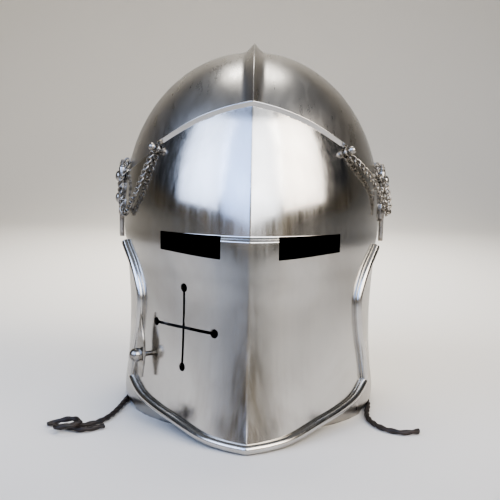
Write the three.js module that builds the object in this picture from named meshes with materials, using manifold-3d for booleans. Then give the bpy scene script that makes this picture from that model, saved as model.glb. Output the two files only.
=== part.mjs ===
// Visored barbute: one-piece skull with a comb, and a keeled visor that pivots at the temples.
// Millimetres, +Z up, the face looks along -Y. Depths are first measured from the pivot axis.
import * as THREE from "three";
import Module from "manifold-3d";

const wasm = await Module();
wasm.setup();

// Skull
const pivotHeight = 180;
const skullHalfWidth = 113.5;
const domeRadius = 132;
const backReach = 122;
const sheetThickness = 1.6;
const combHeight = 8;
const combHalfWidth = 9;
const browHeight = 196;
const eyeGapHalfWidth = 77;
const cheekGapHalfWidth = 47;
const rimArchHeight = 7.4;
const rimArchHalfLength = 62;

// Visor
const visorTopHeight = 259.5;
const visorReach = 168;
const formHeight = pivotHeight * 1.441667;
const visorGap = 2.8;
const tipHeight = 4.2;
const stepHeight = 160;
const stepDrop = 2.5;
const stepDepth = 6;
const lipWidth = 4.2;
const lipSpan = 0.59;
const rollRadius = 3.5;
const sightHeight = 17;
const sightInner = 22;
const sightOuter = 71.5;
const sightRise = 2.8;

// Pierced cross
const crossSide = 51;
const crossHeight = 86;
const crossArm = 31.5;
const crossReach = 33.5;
const crossSlot = 2.4;
const crossHole = 7;

// Hinges
const hingeTilt = 0.105;
const armOffset = 2.5;
const armThickness = 2.9;
const leafThickness = 1.3;
const barrelReach = 39;
const barrelRadius = 3.2;
const barrelLow = 168;
const barrelHigh = 209;
const knuckleHeight = 14;
const pinRadius = 1.5;
const eyeRadius = 2.3;
const eyeWire = 0.9;
const eyeOffset = 4.4;
const eyeRise = 4.6;
const rivetHead = 5.2;
const rivetRise = 3.9;
const rivetShank = 2.4;
const pivotBore = 24;
const armBore = 20;
const armRivetReach = 14;
const armRivetRise = 20;

// Keeper chains
const linkLength = 11.0;
const linkWidth = 5.8;
const wireRadius = 0.8;
const ringRadius = 3.1;
const ballRadius = 3.3;
const neckRadius = 1.1;

// Latch
const latchHeight = 57;
const leafUp = 34;
const leafDown = 19;
const leafWidth = 11.5;
const leverThickness = 2.2;
const knobRadius = 5.8;
const postRadius = 2.0;
const latchStand = rollRadius + 2.4;

// Chin ties
const tieWidth = 4.6;
const tieStudHeight = 34;
const tieSideChosen = 110.1;

const clearance = 0.3;

// Shares of skull height to the pivot, half width, dome radius and back reach, from rim to pivot
const skullWall = [
  { height: 0.0, width: 0.992, front: 0.915, back: 1.04 },
  { height: 0.08, width: 1.0, front: 0.92, back: 0.985 },
  { height: 0.19, width: 0.98, front: 0.93, back: 0.945 },
  { height: 0.35, width: 0.962, front: 0.95, back: 0.935 },
  { height: 0.55, width: 0.963, front: 0.972, back: 0.955 },
  { height: 0.78, width: 0.988, front: 0.993, back: 0.985 },
  { height: 1.0, width: 1.0, front: 1.0, back: 1.0 },
];

// Shares of visor top height, visor reach, skull half width and dome radius; keel is a plain share
const visorRows = [
  { height: 0.012, ridge: 1.0, side: 0.833, edge: 0.482, keel: 0.3 },
  { height: 0.101, ridge: 0.965, side: 0.847, edge: 0.452, keel: 0.28 },
  { height: 0.203, ridge: 0.935, side: 0.815, edge: 0.514, keel: 0.25 },
  { height: 0.305, ridge: 0.913, side: 0.774, edge: 0.585, keel: 0.22 },
  { height: 0.406, ridge: 0.9, side: 0.764, edge: 0.602, keel: 0.2 },
  { height: 0.487, ridge: 0.894, side: 0.82, edge: 0.525, keel: 0.17 },
  { height: 0.569, ridge: 0.891, side: 0.917, edge: 0.376, keel: 0.15 },
  { height: 0.619, ridge: 0.887, side: 0.944, edge: 0.308, keel: 0.14 },
  { height: 0.711, ridge: 0.87, side: 0.952, edge: 0.292, keel: 0.12 },
  { height: 0.782, ridge: 0.842, side: 0.939, edge: 0.292, keel: 0.12 },
  { height: 0.863, ridge: 0.801, side: 0.895, edge: 0.277, keel: 0.12 },
  { height: 0.944, ridge: 0.756, side: 0.822, edge: 0.254, keel: 0.12 },
  { height: 1.0, ridge: 0.713, side: 0.762, edge: 0.233, keel: 0.12 },
];

// Visor outline: share of the way round to the side edge, top and bottom as shares of top height
const visorTop = [
  { round: 0.0, height: 1.0 },
  { round: 0.17, height: 0.981 },
  { round: 0.37, height: 0.944 },
  { round: 0.64, height: 0.868 },
  { round: 0.8, height: 0.82 },
  { round: 1.0, height: 0.782 },
];
const visorFoot = [
  { round: 0.0, height: 0.0 },
  { round: 0.15, height: 0.002 },
  { round: 0.3, height: 0.009 },
  { round: 0.5, height: 0.029 },
  { round: 0.7, height: 0.047 },
  { round: 0.85, height: 0.064 },
  { round: 1.0, height: 0.1 },
];

// Face opening of the skull, half of it: shares of eye gap half width and of brow height
const faceGap = [
  { side: 0.68, height: -0.05 },
  { side: 0.6, height: 0.12 },
  { side: 0.61, height: 0.45 },
  { side: 0.72, height: 0.6 },
  { side: 0.96, height: 0.68 },
  { side: 1.0, height: 0.76 },
  { side: 0.96, height: 0.86 },
  { side: 0.7, height: 0.96 },
  { side: 0.3, height: 1.0 },
];

// Chosen points of each keeper chain, from ball stud to pin eye, for the +X side
const chainRoutes = {
  left: [
    [81.9, -89.9, 219.7], [85.6, -90.0, 211.3], [89.9, -88.8, 200.8], [95.3, -84.4, 188.4],
    [101.1, -75.5, 178.1], [105.8, -66.3, 170.8], [110.1, -58.1, 174.5], [111.6, -53.4, 183.9],
    [112.5, -51.2, 195.3], [108.9, -43.6, 206.6],
  ],
  right: [
    [81.3, -90.1, 220.3], [88.5, -86.3, 214.7], [96.1, -79.2, 207.2], [102.9, -70.7, 199.6],
    [108.5, -62.3, 191.1], [112.6, -55.6, 181.8], [115.6, -50.8, 174.2], [118.4, -47.1, 176.9],
    [117.8, -46.2, 186.3], [114.7, -46.0, 198.4], [108.9, -43.6, 206.6],
  ],
};

// Where the two ends were when the routes were chosen
const chainEnds = { stud: [77.17, -92.41, 225.31], eye: [108, -39, 210.8] };

// Chosen points of the chin ties, from the inside of the skull wall to the free end
const tieRoutes = {
  left: [
    [-107.5, -2, 26], [-106, -4, 14], [-105.5, -9, 5.2], [-105.6, -18, 2.6], [-107.3, -30, 2.5],
    [-109, -46, 2.5], [-110.8, -68, 2.6], [-114.5, -91, 2.6], [-120.4, -106, 2.6],
    [-129, -115.5, 2.6], [-137, -119.5, 2.7],
  ],
  right: [
    [107.5, -2, 26], [106, -4, 14], [105.5, -9, 5.2], [105.6, -18, 2.6], [107.3, -30, 2.5],
    [106.4, -45, 2.5], [103.4, -62, 2.5], [101.8, -78, 2.6], [103.6, -93, 2.6], [108.6, -106, 2.6],
    [116.5, -115.5, 2.6], [127, -119.5, 2.6], [139, -115, 2.6],
  ],
};
const knotRoute = [
  [-137.7, -119.9, 2.7], [-146, -122, 3], [-152, -129, 4.5], [-146, -136, 6.5], [-137, -133, 7.6],
  [-133, -125, 7.4], [-139, -117, 7.6], [-149, -113.5, 5.4], [-156, -114.5, 3.2], [-161, -117, 2.7],
];
const knotTail = [
  [-146, -122, 3], [-138, -127, 3], [-130, -129.5, 2.9], [-122, -124, 2.7], [-115, -117.5, 2.6],
];

const steel = { color: 0xa9a6a1, metalness: 1.0, roughness: 0.16 };
const darkSteel = { color: 0x6f6a64, metalness: 1.0, roughness: 0.4 };
const leather = { color: 0x2a211c, metalness: 0.0, roughness: 0.75 };

// Smooth value of one column of a table at a place between its rows
function column(table, key, name, place) {
  let row = 0;
  while (row < table.length - 2 && place > table[row + 1][key]) row++;
  const at = (i) => table[Math.min(Math.max(i, 0), table.length - 1)];
  const [a, b] = [at(row), at(row + 1)];
  const span = b[key] - a[key];
  const share = Math.min(Math.max((place - a[key]) / span, 0), 1);
  const slope = (i) => {
    const [p, q] = [at(i - 1), at(i + 1)];
    return (q[name] - p[name]) / (q[key] - p[key]);
  };
  const [m0, m1] = [slope(row) * span, slope(row + 1) * span];
  const [s2, s3] = [share * share, share * share * share];
  return (2 * s3 - 3 * s2 + 1) * a[name] + (s3 - 2 * s2 + share) * m0
    + (3 * s2 - 2 * s3) * b[name] + (s3 - s2) * m1;
}

// Closed solid from triangles of points
function solidOf(triangles) {
  const found = new Map();
  const points = [];
  const indices = [];
  for (const triangle of triangles) {
    const ids = triangle.map((p) => {
      const key = p.map((v) => Math.round(v * 1e4)).join();
      if (!found.has(key)) {
        found.set(key, found.size);
        points.push(...p);
      }
      return found.get(key);
    });
    if (ids[0] !== ids[1] && ids[1] !== ids[2] && ids[0] !== ids[2]) indices.push(...ids);
  }
  return new wasm.Manifold(new wasm.Mesh({
    numProp: 3,
    vertProperties: new Float32Array(points),
    triVerts: new Uint32Array(indices),
  }));
}

function quad(list, a, b, c, d) {
  list.push([a, b, c], [a, c, d]);
}

// Solid of a three.js geometry, moved by a matrix
function solid(geometry, matrix = new THREE.Matrix4()) {
  const plain = geometry.index ? geometry.toNonIndexed() : geometry;
  plain.applyMatrix4(matrix);
  const position = plain.attributes.position;
  const triangles = [];
  for (let i = 0; i < position.count; i += 3) {
    triangles.push([0, 1, 2].map((k) => {
      return [position.getX(i + k), position.getY(i + k), position.getZ(i + k)];
    }));
  }
  return solidOf(triangles);
}

function geometryOf(body) {
  const mesh = body.getMesh();
  const geometry = new THREE.BufferGeometry();
  const count = mesh.vertProperties.length / mesh.numProp;
  const points = new Float32Array(count * 3);
  for (let i = 0; i < count; i++) {
    for (let k = 0; k < 3; k++) points[i * 3 + k] = mesh.vertProperties[i * mesh.numProp + k];
  }
  geometry.setAttribute("position", new THREE.BufferAttribute(points, 3));
  geometry.setIndex(new THREE.BufferAttribute(new Uint32Array(mesh.triVerts), 1));
  return geometry;
}

// Matrix that stands a shape's +Y axis along a direction at a place
function along(direction, place) {
  const up = new THREE.Vector3(0, 1, 0);
  const turn = new THREE.Quaternion().setFromUnitVectors(up, direction.clone().normalize());
  return new THREE.Matrix4().compose(place, turn, new THREE.Vector3(1, 1, 1));
}

function turned(profile, sides, direction, place) {
  const points = profile.map(([radius, height]) => new THREE.Vector2(radius, height));
  return solid(new THREE.LatheGeometry(points, sides), along(direction, place));
}

// Skull surface: across runs from side to side, station runs from front rim over the top
const wallSteps = 6;
const domeSteps = 12;
const acrossSteps = [-1, -0.86, -0.7, -0.54, -0.38, -0.22, -0.085, -0.035, 0,
  0.035, 0.085, 0.22, 0.38, 0.54, 0.7, 0.86, 1];

function combRise(side, angle, inset) {
  const reach = Math.max(0, 1 - Math.abs(side) / (combHalfWidth - inset * 0.35));
  const frontFade = THREE.MathUtils.smoothstep(angle, 0.1, 0.55);
  const backFade = 1 - THREE.MathUtils.smoothstep(angle, 2.7, 3.4);
  return combHeight * reach ** 1.5 * frontFade * backFade;
}

function skullPoint(across, station, inset) {
  const swing = across * Math.PI / 2;
  const top = pivotHeight;
  const lowest = inset > 0 ? -2 : 0;
  const half = skullHalfWidth - inset;
  if (station <= wallSteps || station >= wallSteps + domeSteps) {
    const front = station <= wallSteps;
    const step = front ? station : 2 * wallSteps + domeSteps - station;
    const height = lowest + (top - lowest) * (step / wallSteps);
    const share = Math.max(height / top, 0);
    const width = skullHalfWidth * column(skullWall, "height", "width", share) - inset;
    const depth = front
      ? domeRadius * column(skullWall, "height", "front", share) - inset
      : backReach * column(skullWall, "height", "back", share) - inset;
    const side = width * Math.sin(swing);
    const fall = 3.14 + 0.9 * (1 - share);
    const rise = front ? 0 : combRise(side, fall, inset) * Math.cos(swing);
    return [side, (front ? -1 : 1) * (depth * Math.cos(swing) + rise), height];
  }
  const angle = Math.PI * (station - wallSteps) / domeSteps;
  const side = half * Math.sin(swing);
  const depth = angle < Math.PI / 2 ? domeRadius - inset : backReach - inset;
  const rise = combRise(side, angle, inset) * Math.cos(swing);
  const reach = depth * Math.cos(swing) + rise;
  const high = (domeRadius - inset) * Math.cos(swing) + rise;
  return [side, -reach * Math.cos(angle), top + high * Math.sin(angle)];
}

function skullBlank(inset) {
  const stations = 2 * wallSteps + domeSteps;
  const triangles = [];
  for (let i = 0; i < stations; i++) {
    for (let j = 0; j < acrossSteps.length - 1; j++) {
      const [l, r] = [acrossSteps[j], acrossSteps[j + 1]];
      quad(triangles, skullPoint(l, i, inset), skullPoint(r, i, inset),
        skullPoint(r, i + 1, inset), skullPoint(l, i + 1, inset));
    }
  }
  for (let j = 0; j < acrossSteps.length - 1; j++) {
    const [l, r] = [acrossSteps[j], acrossSteps[j + 1]];
    quad(triangles, skullPoint(l, stations, inset), skullPoint(r, stations, inset),
      skullPoint(r, 0, inset), skullPoint(l, 0, inset));
  }
  return solidOf(triangles);
}

// Prism of an outline drawn in the XZ plane, running along Y from near to far
function frontPrism(points, near, far) {
  const shape = new THREE.Shape(points.map(([x, z]) => new THREE.Vector2(x, z)));
  const geometry = new THREE.ExtrudeGeometry(shape, { depth: far - near, bevelEnabled: false });
  const matrix = new THREE.Matrix4().makeRotationX(Math.PI / 2);
  matrix.premultiply(new THREE.Matrix4().makeTranslation(0, far, 0));
  return solid(geometry, matrix);
}

function makeSkull() {
  let body = skullBlank(0).subtract(skullBlank(sheetThickness));
  const half = faceGap.map(({ side, height }) => [side * eyeGapHalfWidth, height * browHeight]);
  const other = [...half].reverse().map(([x, z]) => [-x, z]);
  body = body.subtract(frontPrism([...half, ...other], -domeRadius * 1.2, -cheekGapHalfWidth));
  const arch = new THREE.CylinderGeometry(1, 1, skullHalfWidth * 3, 24);
  const matrix = new THREE.Matrix4().makeRotationZ(Math.PI / 2);
  matrix.premultiply(new THREE.Matrix4().makeScale(1, rimArchHalfLength, rimArchHeight));
  body = body.subtract(solid(arch, matrix));
  for (const hand of [-1, 1]) {
    body = body.subtract(pivotHole(hand));
  }
  return body;
}

// Visor surface: round runs from -1 to 1 between the side edges, height is above the rim
function visorPoint(round, height) {
  const share = height / formHeight;
  const ridge = visorReach * column(visorRows, "height", "ridge", share);
  const side = skullHalfWidth * column(visorRows, "height", "side", share) + visorGap;
  const edge = domeRadius * column(visorRows, "height", "edge", share) + visorGap;
  const keel = column(visorRows, "height", "keel", share);
  const form = (swing) => (1 - keel) * Math.cos(swing) + keel * (1 - Math.sin(swing));
  let [low, high] = [0, Math.PI / 2];
  for (let i = 0; i < 40; i++) {
    const middle = (low + high) / 2;
    if (form(middle) > edge / ridge) low = middle;
    else high = middle;
  }
  const swing = low * Math.abs(round);
  const below = 1 - THREE.MathUtils.clamp((height - stepHeight + stepDrop) / stepDrop, 0, 1);
  const fade = 1 - THREE.MathUtils.smoothstep(Math.abs(round), 0.2, 0.54);
  const reach = ridge * form(swing) + stepDepth * below * fade;
  return new THREE.Vector3(
    Math.sign(round) * side / Math.sin(low) * Math.sin(swing), -reach, height);
}

function visorNormal(round, height) {
  const [dr, dh] = [0.01, 1.3];
  const a = visorPoint(round + dr, height).sub(visorPoint(round - dr, height));
  const b = visorPoint(round, height + dh).sub(visorPoint(round, height - dh));
  return a.cross(b).normalize();
}

function visorEnd(table, round) {
  const share = column(table, "round", "height", Math.abs(round));
  return table === visorTop ? visorTopHeight * share : tipHeight + visorTopHeight * share;
}

const visorColumns = 18;
const lowRows = 6;
const highRows = 4;

function visorHeight(round, row) {
  const foot = visorEnd(visorFoot, round);
  const top = visorEnd(visorTop, round);
  const low = stepHeight - stepDrop;
  if (row <= lowRows) return foot + (low - foot) * (row / lowRows);
  return stepHeight + (top - stepHeight) * ((row - lowRows - 1) / highRows);
}

function visorSheet() {
  const rows = lowRows + highRows + 1;
  const faces = [0, sheetThickness].map((inset) => {
    return Array.from({ length: rows + 1 }, (_, row) => {
      return Array.from({ length: visorColumns + 1 }, (_, i) => {
        const round = 2 * i / visorColumns - 1;
        const height = visorHeight(round, row);
        const point = visorPoint(round, height);
        point.addScaledVector(visorNormal(round, height), -inset);
        return point.toArray();
      });
    });
  });
  const [outer, inner] = faces;
  const triangles = [];
  for (let r = 0; r < rows; r++) {
    for (let i = 0; i < visorColumns; i++) {
      quad(triangles, outer[r][i], outer[r][i + 1], outer[r + 1][i + 1], outer[r + 1][i]);
      quad(triangles, inner[r][i], inner[r + 1][i], inner[r + 1][i + 1], inner[r][i + 1]);
    }
    const last = visorColumns;
    quad(triangles, outer[r][0], outer[r + 1][0], inner[r + 1][0], inner[r][0]);
    quad(triangles, outer[r][last], inner[r][last], inner[r + 1][last], outer[r + 1][last]);
  }
  for (let i = 0; i < visorColumns; i++) {
    quad(triangles, outer[0][i], inner[0][i], inner[0][i + 1], outer[0][i + 1]);
    quad(triangles, outer[rows][i], outer[rows][i + 1], inner[rows][i + 1], inner[rows][i]);
  }
  return solidOf(triangles);
}

// Solid swept by a ring of corners at each stop
function sweep(rings) {
  const triangles = [];
  const sides = rings[0].length;
  for (let s = 0; s < rings.length - 1; s++) {
    for (let k = 0; k < sides; k++) {
      const next = (k + 1) % sides;
      quad(triangles, rings[s][k], rings[s][next], rings[s + 1][next], rings[s + 1][k]);
    }
  }
  const last = rings[rings.length - 1];
  for (let k = 1; k < sides - 1; k++) {
    triangles.push([rings[0][0], rings[0][k + 1], rings[0][k]]);
    triangles.push([last[0], last[k], last[k + 1]]);
  }
  const body = solidOf(triangles);
  return body.volume() < 0 ? solidOf(triangles.map(([a, b, c]) => [a, c, b])) : body;
}

function lipSolid() {
  const stops = 12;
  const rings = [];
  for (let i = 0; i <= stops; i++) {
    const round = lipSpan * (2 * i / stops - 1);
    const height = visorEnd(visorTop, round);
    const normal = visorNormal(round, height);
    const skin = visorPoint(round, height);
    const ahead = visorPoint(round + 0.01, visorEnd(visorTop, round + 0.01));
    const run = ahead.sub(skin).normalize();
    const up = normal.clone().cross(run).normalize();
    if (up.z < 0) up.negate();
    const out = normal.clone().multiplyScalar(0.8).addScaledVector(up, 0.6).normalize();
    const flat = run.clone().cross(out).normalize();
    if (flat.z < 0) flat.negate();
    const root = skin.clone().addScaledVector(normal, -sheetThickness * 0.6);
    rings.push([[0, -0.5], [lipWidth, -0.4], [lipWidth, 0.6], [0, 0.5]].map(([a, b]) => {
      return root.clone().addScaledVector(out, a * (1 + sheetThickness / lipWidth * 0.8))
        .addScaledVector(flat, b * sheetThickness).toArray();
    }));
  }
  return sweep(rings);
}

function rollSolid() {
  const path = [];
  const sideTop = 0.56 * visorTopHeight;
  const sideFoot = visorEnd(visorFoot, 1);
  const sideStops = 7;
  for (const hand of [-1, 1]) {
    const leg = [];
    for (let i = 0; i < sideStops; i++) {
      leg.push([hand, sideTop + (sideFoot - sideTop) * (i / sideStops)]);
    }
    path.push(...(hand < 0 ? leg : leg.reverse()));
    if (hand < 0) {
      for (const round of [-1, -0.92, -0.8, -0.6, -0.4, -0.2, 0, 0.2, 0.4, 0.6, 0.8, 0.92, 1]) {
        path.push([round, visorEnd(visorFoot, round)]);
      }
    }
  }
  const centres = path.map(([round, height]) => {
    const middle = visorPoint(round, height);
    return middle.addScaledVector(visorNormal(round, height), rollRadius * 0.4);
  });
  const sides = 6;
  const rings = centres.map((centre, i) => {
    const before = centres[Math.max(i - 1, 0)];
    const after = centres[Math.min(i + 1, centres.length - 1)];
    const run = after.clone().sub(before).normalize();
    const normal = visorNormal(...path[i]);
    const flat = run.clone().cross(normal).normalize();
    const up = flat.clone().cross(run);
    return Array.from({ length: sides }, (_, k) => {
      const turn = 2 * Math.PI * k / sides;
      return centre.clone().addScaledVector(flat, rollRadius * Math.cos(turn))
        .addScaledVector(up, rollRadius * Math.sin(turn)).toArray();
    });
  });
  return sweep(rings);
}

const barrelSide = skullHalfWidth - 1.1;
const knuckleLow = (barrelLow + barrelHigh - knuckleHeight) / 2;

function barrel(hand, low, high, radius) {
  const place = new THREE.Vector3(hand * barrelSide, -barrelReach, (low + high) / 2);
  const matrix = along(new THREE.Vector3(0, 0, 1), place);
  return solid(new THREE.CylinderGeometry(radius, radius, high - low, 8), matrix);
}

// Strap from the visor's side edge into its own knuckle
function knuckleRoot(hand) {
  const middle = knuckleLow + knuckleHeight / 2;
  const from = new THREE.Vector3(hand * barrelSide, -barrelReach, middle);
  const to = visorPoint(hand * 0.98, middle);
  to.addScaledVector(visorNormal(hand * 0.98, middle), -sheetThickness / 2);
  const run = to.clone().sub(from);
  const strap = new THREE.BoxGeometry(run.length(), sheetThickness, knuckleHeight);
  const [x, z] = [run.clone().setZ(0).normalize(), new THREE.Vector3(0, 0, 1)];
  const basis = new THREE.Matrix4().makeBasis(x, z.clone().cross(x), z);
  return solid(strap, basis.setPosition(from.add(to).multiplyScalar(0.5)));
}

function crossCuts() {
  const share = (side) => {
    let [low, high] = [0, 1];
    for (let i = 0; i < 30; i++) {
      const middle = (low + high) / 2;
      if (visorPoint(middle, crossHeight).x < side) low = middle;
      else high = middle;
    }
    return -low;
  };
  const round = share(crossSide);
  const centre = visorPoint(round, crossHeight);
  const normal = visorNormal(round, crossHeight);
  const level = new THREE.Vector3(-normal.y, normal.x, 0).normalize();
  const up = new THREE.Vector3().crossVectors(normal, level);
  if (up.z < 0) up.negate();
  const deep = sheetThickness * 10;
  const basis = new THREE.Matrix4().makeBasis(level, up, new THREE.Vector3()
    .crossVectors(level, up)).setPosition(centre);
  const cuts = [
    solid(new THREE.BoxGeometry(2 * crossReach, crossSlot, deep), basis),
    solid(new THREE.BoxGeometry(crossSlot, 2 * crossArm, deep), basis),
  ];
  for (const [a, b] of [[1, 0], [-1, 0], [0, 1], [0, -1]]) {
    const place = centre.clone().addScaledVector(level, a * crossReach)
      .addScaledVector(up, b * crossArm);
    const hole = new THREE.CylinderGeometry(crossHole / 2, crossHole / 2, deep * 1.6, 8);
    cuts.push(solid(hole, along(normal, place)));
  }
  return cuts.reduce((all, cut) => all.add(cut));
}

function latchPlace() {
  const round = -0.82;
  return [visorPoint(round, latchHeight), visorNormal(round, latchHeight).setZ(0).normalize()];
}

function makeVisor() {
  let body = visorSheet().add(lipSolid()).add(rollSolid());
  const foot = stepHeight - sightHeight;
  for (const hand of [-1, 1]) {
    const corners = [[sightInner, foot], [sightOuter, foot + sightRise],
      [sightOuter, stepHeight + 0.4], [sightInner, stepHeight + 0.4]];
    const points = corners.map(([x, z]) => [hand * x, z]);
    if (hand < 0) points.reverse();
    body = body.subtract(frontPrism(points, -visorReach * 1.2, -sightOuter));
    const knuckleHigh = knuckleLow + knuckleHeight;
    const room = barrelRadius + clearance * 1.5;
    body = body.subtract(barrel(hand, barrelLow - 1, knuckleLow, room));
    body = body.subtract(barrel(hand, knuckleHigh, barrelHigh + 1, room));
    body = body.add(barrel(hand, knuckleLow, knuckleHigh, barrelRadius)).add(knuckleRoot(hand));
    body = body.subtract(barrel(hand, barrelLow - 1, barrelHigh + 1, pinRadius + clearance));
  }
  body = body.subtract(crossCuts());
  const [place, normal] = latchPlace();
  const hole = new THREE.CylinderGeometry(postRadius + clearance, postRadius + clearance,
    sheetThickness * 6, 10);
  return body.subtract(solid(hole, along(normal, place)));
}

// Frame of one hinge: x out of the plate, y forward along it, z up, from the pivot
function hingeFrame(hand, out) {
  const matrix = new THREE.Matrix4().makeRotationZ(-hand * hingeTilt);
  matrix.setPosition(hand * (skullHalfWidth + out), 0, pivotHeight);
  return matrix;
}

function plateNormal(hand) {
  const up = new THREE.Vector3(0, 0, 1);
  return new THREE.Vector3(hand, 0, 0).applyAxisAngle(up, -hand * hingeTilt);
}

function plate(hand, points, out, thickness) {
  const shape = new THREE.Shape();
  shape.moveTo(...points[0]);
  for (let i = 1; i < points.length; i++) shape.lineTo(...points[i]);
  const geometry = new THREE.ExtrudeGeometry(shape, { depth: thickness, bevelEnabled: false });
  const stand = new THREE.Matrix4().makeBasis(new THREE.Vector3(0, 1, 0),
    new THREE.Vector3(0, 0, 1), new THREE.Vector3(1, 0, 0));
  const shift = hand > 0 ? 0 : -thickness;
  stand.premultiply(new THREE.Matrix4().makeTranslation(shift, 0, 0));
  return solid(geometry, stand.premultiply(hingeFrame(hand, out)));
}

// Arm outline about the pivot: a lobe round each rivet and a narrow tail below
const armFall = 34;
function armOutline() {
  const points = [];
  const lobe = (y, z, radius, from, to, steps) => {
    for (let i = 0; i <= steps; i++) {
      const turn = from + (to - from) * i / steps;
      points.push([y + radius * Math.cos(turn), z + radius * Math.sin(turn)]);
    }
  };
  const wide = rivetHead * 2.5;
  const slim = rivetHead * 1.15;
  lobe(0, 0, rivetHead * 2.1, -0.8, 0.35, 3);
  lobe(-armRivetReach, armRivetRise, wide, 0.25, 3.1, 8);
  lobe(-armRivetReach, slim - armFall, slim, 3.2, 5.5, 5);
  return points;
}

function pivotHole(hand) {
  const place = new THREE.Vector3(hand * (skullHalfWidth + armOffset), 0, pivotHeight);
  const radius = rivetShank + clearance;
  const hole = new THREE.CylinderGeometry(radius, radius, pivotBore, 10);
  return solid(hole, along(new THREE.Vector3(1, 0, 0), place));
}

function armRivetHole(hand) {
  const place = new THREE.Vector3(hand * armOffset, -armRivetReach, armRivetRise)
    .applyMatrix4(hingeFrame(hand, 0));
  const radius = rivetShank + clearance;
  return solid(new THREE.CylinderGeometry(radius, radius, armBore, 10), along(plateNormal(hand), place));
}

function makeArm(hand) {
  return plate(hand, armOutline(), armOffset, armThickness)
    .subtract(pivotHole(hand))
    .subtract(armRivetHole(hand));
}

function makeLeaf(hand) {
  const low = barrelLow - pivotHeight;
  const high = barrelHigh - pivotHeight;
  const rear = -rivetHead - 1.5;
  const points = [[-barrelReach, low + 2], [rear - 4, low + 2], [rear, low + 8],
    [rear, high - 8], [rear - 4, high - 2], [-barrelReach, high - 2]];
  const out = armOffset - clearance - leafThickness;
  const knuckleHigh = knuckleLow + knuckleHeight;
  const room = barrel(hand, knuckleLow - 0.4, knuckleHigh + 0.4, barrelRadius + 0.5);
  return plate(hand, points, out, leafThickness)
    .add(barrel(hand, barrelLow, knuckleLow - 0.4, barrelRadius))
    .add(barrel(hand, knuckleHigh + 0.4, barrelHigh, barrelRadius))
    .subtract(room)
    .subtract(barrel(hand, barrelLow - 1, barrelHigh + 1, pinRadius + clearance))
    .subtract(armRivetHole(hand));
}

function domeProfile(radius, rise, foot) {
  return [[radius, foot], [radius * 0.93, foot + rise * 0.4], [radius * 0.66, foot + rise * 0.8],
    [radius * 0.3, foot + rise * 0.97], [0, foot + rise]];
}

function makePivotRivet(hand) {
  const out = new THREE.Vector3(hand, 0, 0);
  const place = new THREE.Vector3(hand * skullHalfWidth, 0, pivotHeight);
  const inside = -sheetThickness - 2 * clearance;
  const face = armOffset + armThickness + clearance + rivetHead * hingeTilt;
  const profile = [[0, inside - 1.6], [rivetHead * 0.8, inside - 1.6], [rivetHead * 0.8, inside],
    [rivetShank, inside], [rivetShank, face], ...domeProfile(rivetHead, rivetRise, face)];
  return turned(profile, 8, out, place);
}

function makeArmRivet(hand) {
  const out = plateNormal(hand);
  const place = new THREE.Vector3(0, -armRivetReach, armRivetRise)
    .applyMatrix4(hingeFrame(hand, 0));
  const inside = armOffset - leafThickness - 2 * clearance + 0.1;
  const face = armOffset + armThickness + clearance;
  const profile = [[0, inside - 0.7], [rivetHead * 0.6, inside - 0.7],
    [rivetHead * 0.6, inside], [rivetShank, inside], [rivetShank, face],
    ...domeProfile(rivetHead, rivetRise, face)];
  return turned(profile, 8, out, place);
}

function makePin(hand) {
  const base = new THREE.Vector3(hand * barrelSide, -barrelReach, 0);
  const top = barrelHigh + clearance;
  const up = new THREE.Vector3(0, 0, 1);
  const profile = [[0, barrelLow - 2.5], [pinRadius, barrelLow - 2], [pinRadius, top],
    [pinRadius * 1.8, top], [pinRadius * 1.8, top + 1.2], [pinRadius, top + 2],
    [pinRadius, top + eyeRise + 1],
    [0, top + eyeRise + 1.6]];
  const post = turned(profile, 8, up, base);
  const neck = new THREE.CylinderGeometry(eyeWire, eyeWire, eyeOffset - eyeRadius, 6);
  const middle = new THREE.Vector3(hand * (barrelSide - (eyeOffset - eyeRadius) / 2),
    -barrelReach, top + eyeRise);
  const bar = solid(neck, along(new THREE.Vector3(1, 0, 0), middle));
  const eye = new THREE.TorusGeometry(eyeRadius, eyeWire, 5, 10);
  const turn = new THREE.Matrix4().makeRotationX(Math.PI / 2);
  turn.setPosition(hand * (barrelSide - eyeOffset), -barrelReach, top + eyeRise);
  return post.add(bar).add(solid(eye, turn));
}

// Ball stud at an end of the lip, on the visor's skin
function studFrame(hand) {
  const round = hand * (lipSpan + 0.02);
  const height = visorEnd(visorTop, round) - 2.9;
  return [visorPoint(round, height), visorNormal(round, height)];
}

function makeStud(hand) {
  const [place, out] = studFrame(hand);
  const neck = 3.8;
  const middle = neck + ballRadius * 0.85;
  const profile = [[0, clearance], [ballRadius * 0.7, clearance], [ballRadius * 0.7, 0.9],
    [neckRadius, 1.1], [neckRadius, neck]];
  for (let i = 1; i <= 5; i++) {
    const turn = -1.15 + (Math.PI / 2 + 1.15) * i / 6;
    profile.push([ballRadius * Math.cos(turn), middle + ballRadius * Math.sin(turn)]);
  }
  profile.push([0, middle + ballRadius]);
  return turned(profile, 8, out, place);
}

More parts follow.
